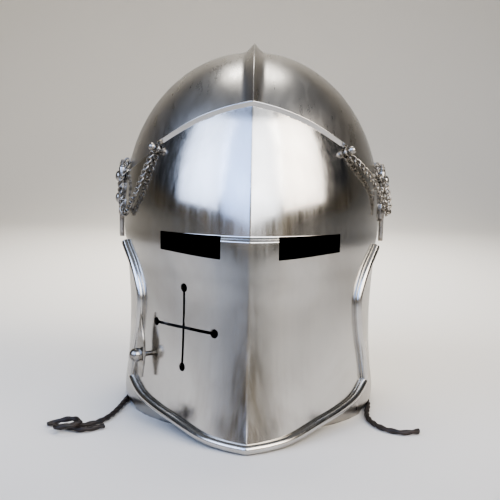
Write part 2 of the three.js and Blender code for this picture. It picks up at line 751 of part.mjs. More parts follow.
function linkSolid(length, width, place, run, face) {
  const cross = new THREE.Vector3().crossVectors(face, run).normalize();
  const rings = [];
  const [stops, sides] = [10, 5];
  const triangles = [];
  const straight = (length - width) / 2;
  for (let i = 0; i < stops; i++) {
    const turn = 2 * Math.PI * (i + 0.5) / stops;
    const [c, s] = [Math.cos(turn), Math.sin(turn)];
    const bend = width / 2 - wireRadius;
    const middle = place.clone().addScaledVector(run, c * bend + Math.sign(c) * straight)
      .addScaledVector(cross, s * bend);
    const away = run.clone().multiplyScalar(c).addScaledVector(cross, s).normalize();
    rings.push(Array.from({ length: sides }, (_, k) => {
      const spin = 2 * Math.PI * k / sides;
      return middle.clone().addScaledVector(away, wireRadius * Math.cos(spin))
        .addScaledVector(face, wireRadius * Math.sin(spin)).toArray();
    }));
  }
  for (let i = 0; i < stops; i++) {
    for (let k = 0; k < sides; k++) {
      const [n, m] = [(i + 1) % stops, (k + 1) % sides];
      quad(triangles, rings[i][k], rings[n][k], rings[n][m], rings[i][m]);
    }
  }
  const body = solidOf(triangles);
  return body.volume() < 0 ? solidOf(triangles.map(([a, b, c]) => [a, c, b])) : body;
}

function makeChain(hand, route) {
  const [skin, out] = studFrame(hand);
  const start = skin.clone().addScaledVector(out, 2.2);
  const eye = new THREE.Vector3(hand * (barrelSide - eyeOffset), -barrelReach,
    barrelHigh + clearance + eyeRise - ringRadius);
  const mirrored = ([x, y, z]) => new THREE.Vector3(hand * x, y, z);
  // the route follows its two ends when they move
  const nearStud = start.clone().sub(mirrored(chainEnds.stud));
  const nearEye = eye.clone().sub(mirrored(chainEnds.eye));
  const points = route.map((spot, i) => mirrored(spot)
    .add(nearStud.clone().lerp(nearEye, i / (route.length - 1))));
  const curve = new THREE.CatmullRomCurve3(points);
  const pitch = linkLength - 4 * wireRadius + 0.4;
  const count = Math.round(curve.getLength() / pitch);
  const ring = 2 * (ringRadius + wireRadius);
  const down = curve.getTangentAt(0).projectOnPlane(out).normalize();
  const links = [
    linkSolid(ring, ring, start, down, out),
    linkSolid(ring, ring, eye, new THREE.Vector3(0, 0, 1), new THREE.Vector3(1, 0, 0)),
  ];
  for (let i = 0; i <= count; i++) {
    const share = i / count;
    const run = curve.getTangentAt(share);
    const aside = new THREE.Vector3(hand, -0.6, 0.1).cross(run).normalize();
    aside.applyAxisAngle(run, (i % 2 ? 1 : -1) * Math.PI / 4);
    links.push(linkSolid(linkLength, linkWidth, curve.getPointAt(share), run, aside));
  }
  return links.reduce((all, link) => all.add(link));
}

function makeLatchPost() {
  const [place, out] = latchPlace();
  const inside = -sheetThickness * 1.3 - clearance;
  const collar = latchStand;
  const profile = [[0, inside - 1.2], [postRadius * 1.9, inside - 1.2],
    [postRadius * 1.9, inside], [postRadius, inside], [postRadius, collar - 1.2],
    [postRadius * 1.9, collar - 1.2], [postRadius * 1.9, collar], [postRadius, collar],
    [postRadius, collar + 6], [0, collar + 6]];
  return turned(profile, 8, out, place);
}

function makeLatchLever() {
  const [place, out] = latchPlace();
  const level = new THREE.Vector3(-out.y, out.x, 0);
  const basis = new THREE.Matrix4().makeBasis(level, new THREE.Vector3(0, 0, 1),
    new THREE.Vector3().crossVectors(level, new THREE.Vector3(0, 0, 1)));
  const back = basis.elements[8] * out.x + basis.elements[9] * out.y;
  const collar = latchStand + clearance;
  const start = back > 0 ? collar : collar + leverThickness;
  basis.setPosition(place.clone().addScaledVector(out, start));
  const shape = new THREE.Shape();
  const half = leafWidth / 2;
  shape.moveTo(0, leafUp);
  shape.bezierCurveTo(half * 0.3, leafUp * 0.55, half, leafUp * 0.5, half, leafUp * 0.08);
  shape.bezierCurveTo(half, -leafDown * 0.4, half * 0.5, -leafDown * 0.5, half * 0.3, -leafDown);
  shape.lineTo(-half * 0.3, -leafDown);
  shape.bezierCurveTo(-half * 0.5, -leafDown * 0.5, -half, -leafDown * 0.4, -half,
    leafUp * 0.08);
  shape.bezierCurveTo(-half, leafUp * 0.5, -half * 0.3, leafUp * 0.55, 0, leafUp);
  const leaf = new THREE.ExtrudeGeometry(shape, {
    depth: leverThickness, bevelEnabled: false, curveSegments: 4 });
  const face = collar + leverThickness;
  const middle = face + knobRadius * 0.62;
  const knob = [[0, face - 0.4], [knobRadius * 0.62, face - 0.4], [knobRadius * 0.62, face + 1]];
  for (let i = 1; i <= 6; i++) {
    const turn = -0.75 + (Math.PI / 2 + 0.75) * i / 7;
    knob.push([knobRadius * Math.cos(turn), middle + knobRadius * Math.sin(turn)]);
  }
  knob.push([0, middle + knobRadius]);
  const bore = new THREE.CylinderGeometry(postRadius + clearance, postRadius + clearance, 14, 12);
  const boreAt = place.clone().addScaledVector(out, collar + 6 + clearance - 7);
  return solid(leaf, basis).add(turned(knob, 12, out, place))
    .subtract(solid(bore, along(out, boreAt)));
}

function tube(route, diameter, steps) {
  // the tie moves with the wall that holds it
  const aside = Math.sign(route[0][0]) * (tieSide() - tieSideChosen);
  const curve = new THREE.CatmullRomCurve3(
    route.map(([x, y, z]) => new THREE.Vector3(x + aside, y, z)));
  const shape = new THREE.Shape();
  shape.absarc(0, 0, diameter / 2, 0, 2 * Math.PI, false);
  const geometry = new THREE.ExtrudeGeometry(shape, {
    extrudePath: curve, steps, curveSegments: 4, bevelEnabled: false });
  return solid(geometry);
}

// Inner face of the wall where the ties are held
function tieSide() {
  return skullHalfWidth * column(skullWall, "height", "width", 30 / pivotHeight) - sheetThickness;
}

// Rivet that holds a tie to the inside of the skull wall
function makeTieStud(hand) {
  const place = new THREE.Vector3(hand * (tieSide() - 1.2), -2, tieStudHeight);
  const profile = [[0, 0], [4.5, 0], [4.5, 1], [2.2, 1.6], [2.2, 4.2], [3.6, 4.4], [2.6, 5.6],
    [0, 6]];
  return turned(profile, 8, new THREE.Vector3(-hand, 0, 0), place);
}

const parts = {
  skull: [makeSkull(), steel],
  visor: [makeVisor(), steel],
  latch_post: [makeLatchPost(), darkSteel],
  latch_lever: [makeLatchLever(), steel],
  chin_tie_left: [tube(tieRoutes.left, tieWidth, 16), leather],
  chin_tie_right: [tube(tieRoutes.right, tieWidth, 17), leather],
  tie_knot: [tube(knotRoute, tieWidth, 14).add(tube(knotTail, tieWidth, 5)), leather],
};
for (const [name, hand] of [["left", -1], ["right", 1]]) {
  parts[`hinge_arm_${name}`] = [makeArm(hand), steel];
  parts[`hinge_leaf_${name}`] = [makeLeaf(hand), darkSteel];
  parts[`pivot_rivet_${name}`] = [makePivotRivet(hand), steel];
  parts[`arm_rivet_${name}`] = [makeArmRivet(hand), steel];
  parts[`hinge_pin_${name}`] = [makePin(hand), darkSteel];
  parts[`chain_stud_${name}`] = [makeStud(hand), steel];
  parts[`keeper_chain_${name}`] = [makeChain(hand, chainRoutes[name]), darkSteel];
  parts[`tie_stud_${name}`] = [makeTieStud(hand), darkSteel];
}

const helmet = new THREE.Group();
const hard = new THREE.Box3();
for (const [name, [body, look]] of Object.entries(parts)) {
  const mesh = new THREE.Mesh(geometryOf(body), new THREE.MeshStandardMaterial(look));
  mesh.name = name;
  helmet.add(mesh);
  mesh.geometry.computeBoundingBox();
  if (look !== leather) hard.union(mesh.geometry.boundingBox);
}
helmet.position.y = -(hard.min.y + hard.max.y) / 2;

export default helmet;
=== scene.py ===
import math

import bmesh
import bpy
import numpy as np
from mathutils import Matrix, Vector
from mathutils.bvhtree import BVHTree


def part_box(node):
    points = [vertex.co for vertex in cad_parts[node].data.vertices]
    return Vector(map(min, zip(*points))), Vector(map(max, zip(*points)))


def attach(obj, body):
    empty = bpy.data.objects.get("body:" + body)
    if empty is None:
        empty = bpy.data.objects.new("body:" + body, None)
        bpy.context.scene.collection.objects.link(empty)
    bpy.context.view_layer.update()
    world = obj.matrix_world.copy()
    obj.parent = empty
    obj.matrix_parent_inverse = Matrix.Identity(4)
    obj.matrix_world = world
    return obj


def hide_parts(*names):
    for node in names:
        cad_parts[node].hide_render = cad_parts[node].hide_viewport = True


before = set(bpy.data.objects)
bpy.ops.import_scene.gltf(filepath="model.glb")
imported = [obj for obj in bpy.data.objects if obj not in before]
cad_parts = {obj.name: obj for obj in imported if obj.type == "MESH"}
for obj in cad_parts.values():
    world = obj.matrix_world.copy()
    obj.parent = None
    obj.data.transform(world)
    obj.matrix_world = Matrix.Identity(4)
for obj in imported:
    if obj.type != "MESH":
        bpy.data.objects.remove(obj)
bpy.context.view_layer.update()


rivetLow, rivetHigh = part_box("pivot_rivet_left")
pivotY = (rivetLow[1] + rivetHigh[1]) / 2   # the visor's axis, measured from the middle of the part
pivotZ = 0.180


cameraPlace = {
    "place": (0.0052, -0.7822, 0.2249),
    "yaw": 0.43, "pitch": 6.42, "roll": 1.05,   # degrees: turned left, looking down, tipped
    "lens": 63.6,
}


def makeCamera(settings):
    yaw, pitch, roll = (math.radians(settings[name]) for name in ("yaw", "pitch", "roll"))
    ahead = Vector((-math.sin(yaw) * math.cos(pitch), math.cos(yaw) * math.cos(pitch), -math.sin(pitch)))
    right = Vector((math.cos(yaw), math.sin(yaw), 0))
    up = right.cross(ahead)
    side = right * math.cos(roll) + up * math.sin(roll)
    top = up * math.cos(roll) - right * math.sin(roll)
    data = bpy.data.cameras.new("camera")
    data.lens = settings["lens"]
    data.sensor_width = 36
    camera = bpy.data.objects.new("camera", data)
    turn = Matrix((side, top, -ahead)).transposed().to_4x4()
    camera.matrix_world = Matrix.Translation(settings["place"]) @ turn
    bpy.context.scene.collection.objects.link(camera)
    bpy.context.scene.camera = camera


makeCamera(cameraPlace)


# mesh helpers
def here(x, y, z):
    # from the visor's axis to the frame
    return Vector((x, y + pivotY, z))


def meshObject(name, points, faces, material=None, smooth=True):
    mesh = bpy.data.meshes.new(name)
    mesh.from_pydata([tuple(p) for p in points], [], [tuple(f) for f in faces])
    work = bmesh.new()
    work.from_mesh(mesh)
    bmesh.ops.remove_doubles(work, verts=work.verts, dist=1e-6)
    bmesh.ops.dissolve_degenerate(work, edges=work.edges, dist=1e-7)
    bmesh.ops.recalc_face_normals(work, faces=work.faces)
    work.to_mesh(mesh)
    work.free()
    for face in mesh.polygons:
        face.use_smooth = smooth
    piece = bpy.data.objects.new(name, mesh)
    bpy.context.scene.collection.objects.link(piece)
    if material:
        mesh.materials.append(material)
    return piece


def joined(name, pieces):
    # several meshes as one piece
    bpy.ops.object.select_all(action="DESELECT")
    for piece in pieces:
        piece.select_set(True)
    bpy.context.view_layer.objects.active = pieces[0]
    if len(pieces) > 1:
        bpy.ops.object.join()
    piece = pieces[0]
    piece.name = piece.data.name = name
    return piece


def applied(piece):
    # modifiers turned into plain mesh
    graph = bpy.context.evaluated_depsgraph_get()
    mesh = bpy.data.meshes.new_from_object(piece.evaluated_get(graph))
    old = piece.data
    piece.modifiers.clear()
    piece.data = mesh
    mesh.name = piece.name
    bpy.data.meshes.remove(old)
    return piece


def creased(piece, angle=38):
    # smooth shading that stops at sharp edges
    mesh = piece.data
    mesh.shade_smooth()
    mesh.set_sharp_from_angle(angle=math.radians(angle))
    return piece


def bevelled(piece, width, segments=3, angle=32):
    bevel = piece.modifiers.new("edges", "BEVEL")
    bevel.width = width
    bevel.segments = segments
    bevel.limit_method = "ANGLE"
    bevel.angle_limit = math.radians(angle)
    bevel.harden_normals = False
    return creased(applied(piece), 50)


def cutBy(piece, cutters):
    for cutter in cutters:
        cut = piece.modifiers.new("cut", "BOOLEAN")
        cut.operation = "DIFFERENCE"
        cut.solver = "EXACT"
        cut.object = cutter
    applied(piece)
    for cutter in cutters:
        bpy.data.objects.remove(cutter)
    return piece


def frameAlong(direction, place):
    # z runs along the direction
    turn = Vector(direction).normalized().to_track_quat("Z", "Y").to_matrix().to_4x4()
    return Matrix.Translation(place) @ turn


def turned(name, profile, place, direction, steps=48, material=None):
    # profile: radius and height pairs from the axis round to the axis
    points, faces = [], []
    matrix = frameAlong(direction, place)
    for radius, height in profile:
        for k in range(steps):
            turn = 2 * math.pi * k / steps
            points.append(matrix @ Vector((radius * math.cos(turn), radius * math.sin(turn), height)))
    for i in range(len(profile) - 1):
        for k in range(steps):
            n = (k + 1) % steps
            faces.append((i * steps + k, i * steps + n, (i + 1) * steps + n, (i + 1) * steps + k))
    return creased(meshObject(name, points, faces, material), 42)


def rounded(corners, radius, steps=4):
    # profile whose inner corners are rounded by a small radius
    out = []
    for i, corner in enumerate(corners):
        if i in (0, len(corners) - 1):
            out.append(corner)
            continue
        before, corner, after = (Vector(corners[k]) for k in (i - 1, i, i + 1))
        a, b = before - corner, after - corner
        reach = min(radius, a.length * 0.45, b.length * 0.45)
        start, end = corner + a.normalized() * reach, corner + b.normalized() * reach
        for k in range(steps + 1):
            t = k / steps
            point = start * (1 - t) ** 2 + corner * 2 * t * (1 - t) + end * t ** 2
            out.append((point.x, point.y))
    return out


def smoothLine(points, closed=False, density=0.001):
    # dense points on a smooth curve through a few chosen ones
    points = [Vector(p) for p in points]
    count = len(points)
    dense = []
    spans = count if closed else count - 1
    for i in range(spans):
        around = [i + k if closed else min(max(i + k, 0), count - 1) for k in (-1, 0, 1, 2)]
        at = [points[k % count] for k in around]
        steps = max(2, round((at[2] - at[1]).length / density))
        for k in range(steps):
            t = k / steps
            dense.append(0.5 * (2 * at[1] + (at[2] - at[0]) * t
                         + (2 * at[0] - 5 * at[1] + 4 * at[2] - at[3]) * t ** 2
                         + (3 * at[1] - at[0] - 3 * at[2] + at[3]) * t ** 3))
    if not closed:
        dense.append(points[-1])
    return dense


def sweptMesh(name, line, section, closed=False, twist=0.0, up=(0, 0, 1), material=None):
    # the section's points are measured to the side and up at each stop
    count = len(line)
    ring = len(section)
    points, faces = [], []
    ahead = []
    for i in range(count):
        before = line[(i - 1) % count] if closed else line[max(i - 1, 0)]
        after = line[(i + 1) % count] if closed else line[min(i + 1, count - 1)]
        ahead.append((after - before).normalized())
    across = Vector(up).cross(ahead[0])
    if across.length < 0.05:
        across = Vector((1, 0, 0)).cross(ahead[0])
    across.normalize()
    frames = []
    for i in range(count):
        if i:
            across = ahead[i - 1].rotation_difference(ahead[i]) @ across
            across = (across - ahead[i] * across.dot(ahead[i])).normalized()
        frames.append(across.copy())
    drift = 0.0
    if closed:
        last = ahead[-1].rotation_difference(ahead[0]) @ frames[-1]
        drift = math.atan2(last.cross(frames[0]).dot(ahead[0]), last.dot(frames[0]))
    for i, place in enumerate(line):
        turn = (twist + drift) * i / count
        side = Matrix.Rotation(turn, 3, ahead[i]) @ frames[i]
        high = ahead[i].cross(side)
        points += [place + side * a + high * b for a, b in section]
    spans = count if closed else count - 1
    for i in range(spans):
        n = (i + 1) % count
        for k in range(ring):
            m = (k + 1) % ring
            faces.append((i * ring + k, n * ring + k, n * ring + m, i * ring + m))
    if not closed:
        faces.append(tuple(range(ring)))
        faces.append(tuple(reversed(range((count - 1) * ring, count * ring))))
    return meshObject(name, points, faces, material)


def roundSection(radius, sides=16):
    return [(radius * math.cos(2 * math.pi * k / sides), radius * math.sin(2 * math.pi * k / sides))
            for k in range(sides)]


def outlinePlate(name, outline, thickness, matrix, material=None):
    # flat plate of an outline in the matrix's x and y, its back on z = 0
    count = len(outline)
    points = [matrix @ Vector((a, b, z)) for z in (0, thickness) for a, b in outline]
    faces = [tuple(reversed(range(count))), tuple(range(count, 2 * count))]
    faces += [(k, (k + 1) % count, count + (k + 1) % count, count + k) for k in range(count)]
    return meshObject(name, points, faces, material, smooth=False)


def throughColumn(table, key, name, at):
    # smooth values of a table's column, with slopes from the rows beside
    keys, values = np.array(table[key], float), np.array(table[name], float)
    slopes = np.empty(len(keys))
    slopes[1:-1] = (values[2:] - values[:-2]) / (keys[2:] - keys[:-2])
    slopes[0] = (values[1] - values[0]) / (keys[1] - keys[0])
    slopes[-1] = (values[-1] - values[-2]) / (keys[-1] - keys[-2])
    at = np.clip(at, keys[0], keys[-1])
    row = np.clip(np.searchsorted(keys, at, side="right") - 1, 0, len(keys) - 2)
    span = keys[row + 1] - keys[row]
    t = (at - keys[row]) / span
    return ((2 * t**3 - 3 * t**2 + 1) * values[row] + (t**3 - 2 * t**2 + t) * slopes[row] * span
            + (3 * t**2 - 2 * t**3) * values[row + 1] + (t**3 - t**2) * slopes[row + 1] * span)


def eased(value, low, high):
    t = np.clip((value - low) / (high - low), 0, 1)
    return t * t * (3 - 2 * t)


# materials
def linearColour(code):
    # "#rrggbb" as the linear colour that a shader takes
    channels = [int(code[i:i + 2], 16) / 255 for i in (1, 3, 5)]
    return tuple(c / 12.92 if c <= 0.04045 else ((c + 0.055) / 1.055) ** 2.4 for c in channels) + (1.0,)


def addNode(tree, kind, settings=None, links=None, out=None):
    # settings name properties or input sockets, links name input sockets, out an output to hand back
    node = tree.nodes.new(kind)
    for name, value in (settings or {}).items():
        if name == "stops":   # places and colours of a ramp
            elements = node.color_ramp.elements
            while len(elements) < len(value):
                elements.new(0.5)
            for element, (place, colour) in zip(elements, value):
                element.position = place
                plain = not isinstance(colour, str)
                element.color = (colour, colour, colour, 1) if plain else linearColour(colour)
        elif isinstance(name, str) and hasattr(node, name):
            setattr(node, name, value)
        else:
            node.inputs[name].default_value = value
    for name, socket in (links or {}).items():
        tree.links.new(socket, node.inputs[name])
    return node if out is None else node.outputs[out]


def newMaterial(name):
    material = bpy.data.materials.new(name)
    material.use_nodes = True
    material.node_tree.nodes.clear()
    return material, material.node_tree


def makeSteel(name, look):
    # plate steel: colour from the metal, streaks of the last polish, faint smears and pits
    material, tree = newMaterial(name)
    place = addNode(tree, "ShaderNodeTexCoord", out="Object")
    stretched = addNode(tree, "ShaderNodeMapping", {"Scale": look["streakScale"]}, {"Vector": place},
                        out="Vector")
    streaks = addNode(tree, "ShaderNodeTexNoise", {"Scale": 1.0, "Detail": 6.0, "Roughness": 0.62},
                      {"Vector": stretched}, out="Fac")
    smears = addNode(tree, "ShaderNodeTexNoise", {
        "Scale": look["smearScale"], "Detail": 5.0, "Roughness": 0.6, "Distortion": 0.8},
        {"Vector": place}, out="Fac")
    pits = addNode(tree, "ShaderNodeTexNoise", {"Scale": look["pitScale"], "Detail": 3.0, "Roughness": 0.7},
                   {"Vector": place}, out="Fac")
    stops = [(0.0, 1.0), (0.28, 1.0), (0.34, 0.0), (1.0, 0.0)]
    pitMask = addNode(tree, "ShaderNodeValToRGB", {"stops": stops}, {"Fac": pits}, out="Color")
    stops = [(0.30, look["dullTone"]), (0.62, look["cleanTone"])]
    tone = addNode(tree, "ShaderNodeValToRGB", {"stops": stops}, {"Fac": smears}, out="Color")
    share = addNode(tree, "ShaderNodeMath", {"operation": "MULTIPLY", 1: look["pitAmount"]},
                    {0: pitMask}, out=0)
    stained = addNode(tree, "ShaderNodeMix", {"data_type": "RGBA", 7: linearColour(look["pitTone"])},
                      {"Factor": share, 6: tone}, out=2)
    dull = addNode(tree, "ShaderNodeMapRange", {
        "From Min": 0.3, "From Max": 0.7, "To Min": look["sheen"][1], "To Max": look["sheen"][0]},
        {"Value": smears}, out=0)
    brushed = addNode(tree, "ShaderNodeMapRange", {
        "From Min": 0.3, "From Max": 0.7, "To Min": -look["streakDull"], "To Max": look["streakDull"]},
        {"Value": streaks}, out=0)
    rough = addNode(tree, "ShaderNodeMath", {"operation": "ADD", "use_clamp": True},
                    {0: dull, 1: brushed}, out=0)
    fine = addNode(tree, "ShaderNodeBump", {"Strength": look["streakBump"], "Distance": 0.0003},
                   {"Height": streaks}, out="Normal")
    wave = addNode(tree, "ShaderNodeTexNoise", {"Scale": look["waveScale"], "Detail": 1.5, "Roughness": 0.4},
                   {"Vector": place}, out="Fac")
    hammered = addNode(tree, "ShaderNodeBump", {"Strength": look["waveBump"], "Distance": 0.004},
                       {"Height": wave, "Normal": fine}, out="Normal")
    shader = addNode(tree, "ShaderNodeBsdfPrincipled", {"Metallic": 1.0},
                     {"Base Color": stained, "Roughness": rough, "Normal": hammered})
    addNode(tree, "ShaderNodeOutputMaterial", links={"Surface": shader.outputs[0]})
    return material


# visor and brim: cold-rolled steel plate, mirror buffed, which gives clear bright reflections
mirrorLook = {
    "cleanTone": "#cfcdc9", "dullTone": "#bdb9b3", "pitTone": "#5a5048", "pitAmount": 0.06,
    "sheen": (0.15, 0.21), "streakScale": (240, 240, 9), "streakDull": 0.05, "streakBump": 0.12,
    "smearScale": 11, "pitScale": 520, "waveScale": 22, "waveBump": 0.05,
}
# skull: the same plate with a softer satin polish, which spreads its highlights
satinLook = dict(mirrorLook, cleanTone="#bebbb6", dullTone="#aca8a2", sheen=(0.27, 0.35),
                 streakScale=(170, 40, 40), streakDull=0.05, streakBump=0.04, pitAmount=0.02)
# hinges and rivets: turned steel with a hand polish, a little darker in the corners
fittingLook = dict(mirrorLook, cleanTone="#b2afaa", dullTone="#857e75", sheen=(0.15, 0.3),
                   streakScale=(300, 300, 300), streakBump=0.06, waveBump=0.02, pitAmount=0.4, smearScale=60)
# chains, pins and studs: steel wire left darker by oil, which gives small sharp glints
wireLook = dict(fittingLook, cleanTone="#a8a298", dullTone="#4a443d", sheen=(0.2, 0.38), smearScale=180)

mirrorSteel = makeSteel("mirror_buffed_steel", mirrorLook)
satinSteel = makeSteel("satin_polished_steel", satinLook)
fittingSteel = makeSteel("hand_polished_steel", fittingLook)
wireSteel = makeSteel("oiled_steel_wire", wireLook)

# inside of both plates: scale left by the forge, oiled black, and also painted shade: the near-black faces
# keep the openings dark as shade inside would
scaleAndShadeLook = {"deep": "#0b0a09", "worn": "#1d1a17", "scaleSize": 260, "roughness": 0.7}


def makeScaleAndShade(name, look):
    material, tree = newMaterial(name)
    place = addNode(tree, "ShaderNodeTexCoord", out="Object")
    flakes = addNode(tree, "ShaderNodeTexNoise",
                     {"Scale": look["scaleSize"], "Detail": 6.0, "Roughness": 0.65},
                     {"Vector": place}, out="Fac")
    tone = addNode(tree, "ShaderNodeValToRGB", {"stops": [(0.35, look["deep"]), (0.7, look["worn"])]},
                   {"Fac": flakes}, out="Color")
    crust = addNode(tree, "ShaderNodeBump", {"Strength": 0.5, "Distance": 0.0003}, {"Height": flakes},
                    out="Normal")
    shader = addNode(tree, "ShaderNodeBsdfPrincipled", {"Roughness": look["roughness"], "Metallic": 0.4},
                     {"Base Color": tone, "Normal": crust})
    addNode(tree, "ShaderNodeOutputMaterial", links={"Surface": shader.outputs[0]})
    return material


# painted shade: near-black inside faces that darken the sights and breaths
scaleAndPaintedShade = makeScaleAndShade("forge_scale_painted_shade", scaleAndShadeLook)

# ties: oiled calf leather thong, dark with a dry worn edge, which gives a low waxy gleam
thongLook = {"deep": "#120d0a", "worn": "#2b1f18", "grainScale": 900, "foldScale": 120, "roughness": 0.52}


def makeLeather(name, look):
    material, tree = newMaterial(name)
    place = addNode(tree, "ShaderNodeTexCoord", out="Object")
    cells = addNode(tree, "ShaderNodeTexVoronoi",
                    {"Scale": look["grainScale"], "feature": "DISTANCE_TO_EDGE"},
                    {"Vector": place}, out="Distance")
    wear = addNode(tree, "ShaderNodeTexNoise", {"Scale": look["foldScale"], "Detail": 6.0, "Roughness": 0.6},
                   {"Vector": place}, out="Fac")
    tone = addNode(tree, "ShaderNodeValToRGB", {"stops": [(0.35, look["deep"]), (0.7, look["worn"])]},
                   {"Fac": wear}, out="Color")
    rough = addNode(tree, "ShaderNodeMapRange",
                    {"From Min": 0.3, "From Max": 0.7,
                     "To Min": look["roughness"] - 0.1, "To Max": look["roughness"] + 0.14},
                    {"Value": wear}, out=0)
    folds = addNode(tree, "ShaderNodeBump", {"Strength": 0.4, "Distance": 0.0006}, {"Height": wear},
                    out="Normal")
    grain = addNode(tree, "ShaderNodeBump", {"Strength": 0.35, "Distance": 0.0002},
                    {"Height": cells, "Normal": folds}, out="Normal")
    shader = addNode(tree, "ShaderNodeBsdfPrincipled", {"IOR": 1.5},
                     {"Base Color": tone, "Roughness": rough, "Normal": grain})
    addNode(tree, "ShaderNodeOutputMaterial", links={"Surface": shader.outputs[0]})
    return material


thongLeather = makeLeather("oiled_leather_thong", thongLook)
print("materials made")


# ties: leather thongs that leave the skull at two studs, the left one knotted
ties = {
    "diameter": 0.0046,
    "left": ((-.1075, -.002, .026), (-.106, -.004, .014), (-.1055, -.009, .0052), (-.1056, -.018, .0026),
             (-.1073, -.030, .0025), (-.109, -.046, .0025), (-.1108, -.068, .0026), (-.1145, -.091, .0026),
             (-.1204, -.106, .0026), (-.129, -.1155, .0026), (-.137, -.1195, .0027)),
    "right": ((.1075, -.002, .026), (.106, -.004, .014), (.1055, -.009, .0052), (.1056, -.018, .0026),
              (.1073, -.030, .0025), (.1064, -.045, .0025), (.1034, -.062, .0025), (.1018, -.078, .0026),
              (.1036, -.093, .0026), (.1086, -.106, .0026), (.1165, -.1155, .0026), (.127, -.1195, .0026),
              (.139, -.115, .0026)),
    "knot": ((-.1377, -.1199, .0027), (-.146, -.122, .003), (-.152, -.129, .0045), (-.146, -.136, .0065),
             (-.137, -.133, .0076), (-.133, -.125, .0074), (-.139, -.117, .0076), (-.149, -.1135, .0054),
             (-.156, -.1145, .0032), (-.161, -.117, .0027)),
    "tail": ((-.146, -.122, .003), (-.138, -.127, .003), (-.130, -.1295, .0029), (-.122, -.124, .0027),
             (-.115, -.1175, .0026)),
}


def thongSection(radius, sides=20):
    # two plies side by side
    points = []
    for k in range(sides):
        t = 2 * math.pi * k / sides
        r = radius * (0.86 + 0.14 * math.cos(2 * t))
        points.append((r * math.cos(t), r * math.sin(t)))
    return points


def makeThong(name, points):
    line = smoothLine([here(*p) for p in points], density=0.0012)
    length = sum((b - a).length for a, b in zip(line, line[1:]))
    section = thongSection(ties["diameter"] / 2)
    twist = 2 * math.pi * length / 0.022
    piece = sweptMesh(name, line, section, twist=twist, material=thongLeather)
    return creased(bevelled(piece, 0.0005, 2, 60), 60), line, length


knotPiece = joined("thong_knot", [makeThong(name, ties[name])[0] for name in ("knot", "tail")])
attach(knotPiece, "skull")
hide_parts("tie_knot")
for side in ("left", "right"):
    piece, line, length = makeThong(f"thong_{side}", ties[side])
    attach(piece, "skull")
    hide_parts(f"chin_tie_{side}")


def makeTieStud(name, hand):
    low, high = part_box(f"tie_stud_{name}")
    outer = high[0] if hand > 0 else low[0]
    place = Vector((outer, (low[1] + high[1]) / 2, (low[2] + high[2]) / 2))
    profile = rounded([(0, 0), (.0045, 0), (.0045, .001), (.0022, .0016), (.0022, .0042), (.0036, .0044),
                       (.0026, .0056), (0, .006)], 0.0004, 3)
    stud = turned(f"thong_stud_{name}", profile, place, (-hand, 0, 0), 32, wireSteel)
    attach(stud, "skull")
    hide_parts(f"tie_stud_{name}")


for side, hand in (("left", -1), ("right", 1)):
    makeTieStud(side, hand)
print("ties made")


# one-piece skull; shares are of the sizes above them
skull = {
    "halfWidth": 0.1135, "domeRadius": 0.132, "backReach": 0.122, "sheet": 0.0016,
    "combHeight": 0.008, "combHalfWidth": 0.009,
    "browHeight": 0.196, "eyeHalfWidth": 0.077, "rimArchHeight": 0.0074, "rimArchHalfLength": 0.062,
    "walls": {   # height of the wall, then width, front and back as shares
        "height": (0, .08, .19, .35, .55, .78, 1),
        "width": (.992, 1, .98, .962, .963, .988, 1),
        "front": (.915, .92, .93, .95, .972, .993, 1),
        "back": (1.04, .985, .945, .935, .955, .985, 1)},
    "faceGap": ((.68, -.05), (.6, .12), (.61, .45), (.72, .6), (.96, .68), (1, .76), (.96, .86), (.7, .96),
                (.3, 1)),
    "wallRows": 70, "domeRows": 150, "columns": 110,
}


def combRise(side, angle, inset):
    half = skull["combHalfWidth"] - 0.35 * inset
    ridge = np.maximum(0, 1 - np.abs(side) / half) ** 1.5
    return skull["combHeight"] * ridge * eased(angle, 0.1, 0.55) * (1 - eased(angle, 2.7, 3.4))


def skullGrid(inset):
    # rows run up the front, over the crown and down the back
    swing = np.linspace(-1, 1, skull["columns"] + 1)
    swing = (np.sign(swing) * np.abs(swing) ** 1.25) * math.pi / 2   # closer columns beside the comb
    rows = []
    heights = np.linspace(0, pivotZ, skull["wallRows"], endpoint=False)
    wall = skull["walls"]

    def wallRow(height, front):
        share = height / pivotZ
        width = skull["halfWidth"] * throughColumn(wall, "height", "width", share) - inset
        reach = (skull["domeRadius"] if front else skull["backReach"])
        reach = reach * throughColumn(wall, "height", "front" if front else "back", share) - inset
        side = width * np.sin(swing)
        rise = 0 if front else combRise(side, 3.14 + 0.9 * (1 - share), inset) * np.cos(swing)
        away = reach * np.cos(swing) + rise
        return np.stack([side, (-away if front else away), np.full_like(side, height)], 1)

    for height in heights:
        rows.append(wallRow(height, True))
    for angle in np.linspace(0, math.pi, skull["domeRows"] + 1):
        side = (skull["halfWidth"] - inset) * np.sin(swing)
        reach = (skull["domeRadius"] if angle < math.pi / 2 else skull["backReach"]) - inset
        rise = combRise(side, angle, inset) * np.cos(swing)
        away = reach * np.cos(swing) + rise
        high = (skull["domeRadius"] - inset) * np.cos(swing) + rise
        rows.append(np.stack([side, -away * math.cos(angle), pivotZ + high * math.sin(angle)], 1))
    for height in heights[::-1]:
        rows.append(wallRow(height, False))
    grid = np.array(rows)
    grid[:, :, 1] += pivotY
    return grid


def gridFaces(rows, columns, start=0, flip=False):
    faces = []
    for i in range(rows - 1):
        for j in range(columns - 1):
            a = start + i * columns + j
            face = (a, a + 1, a + columns + 1, a + columns)
            faces.append(face[::-1] if flip else face)
    return faces


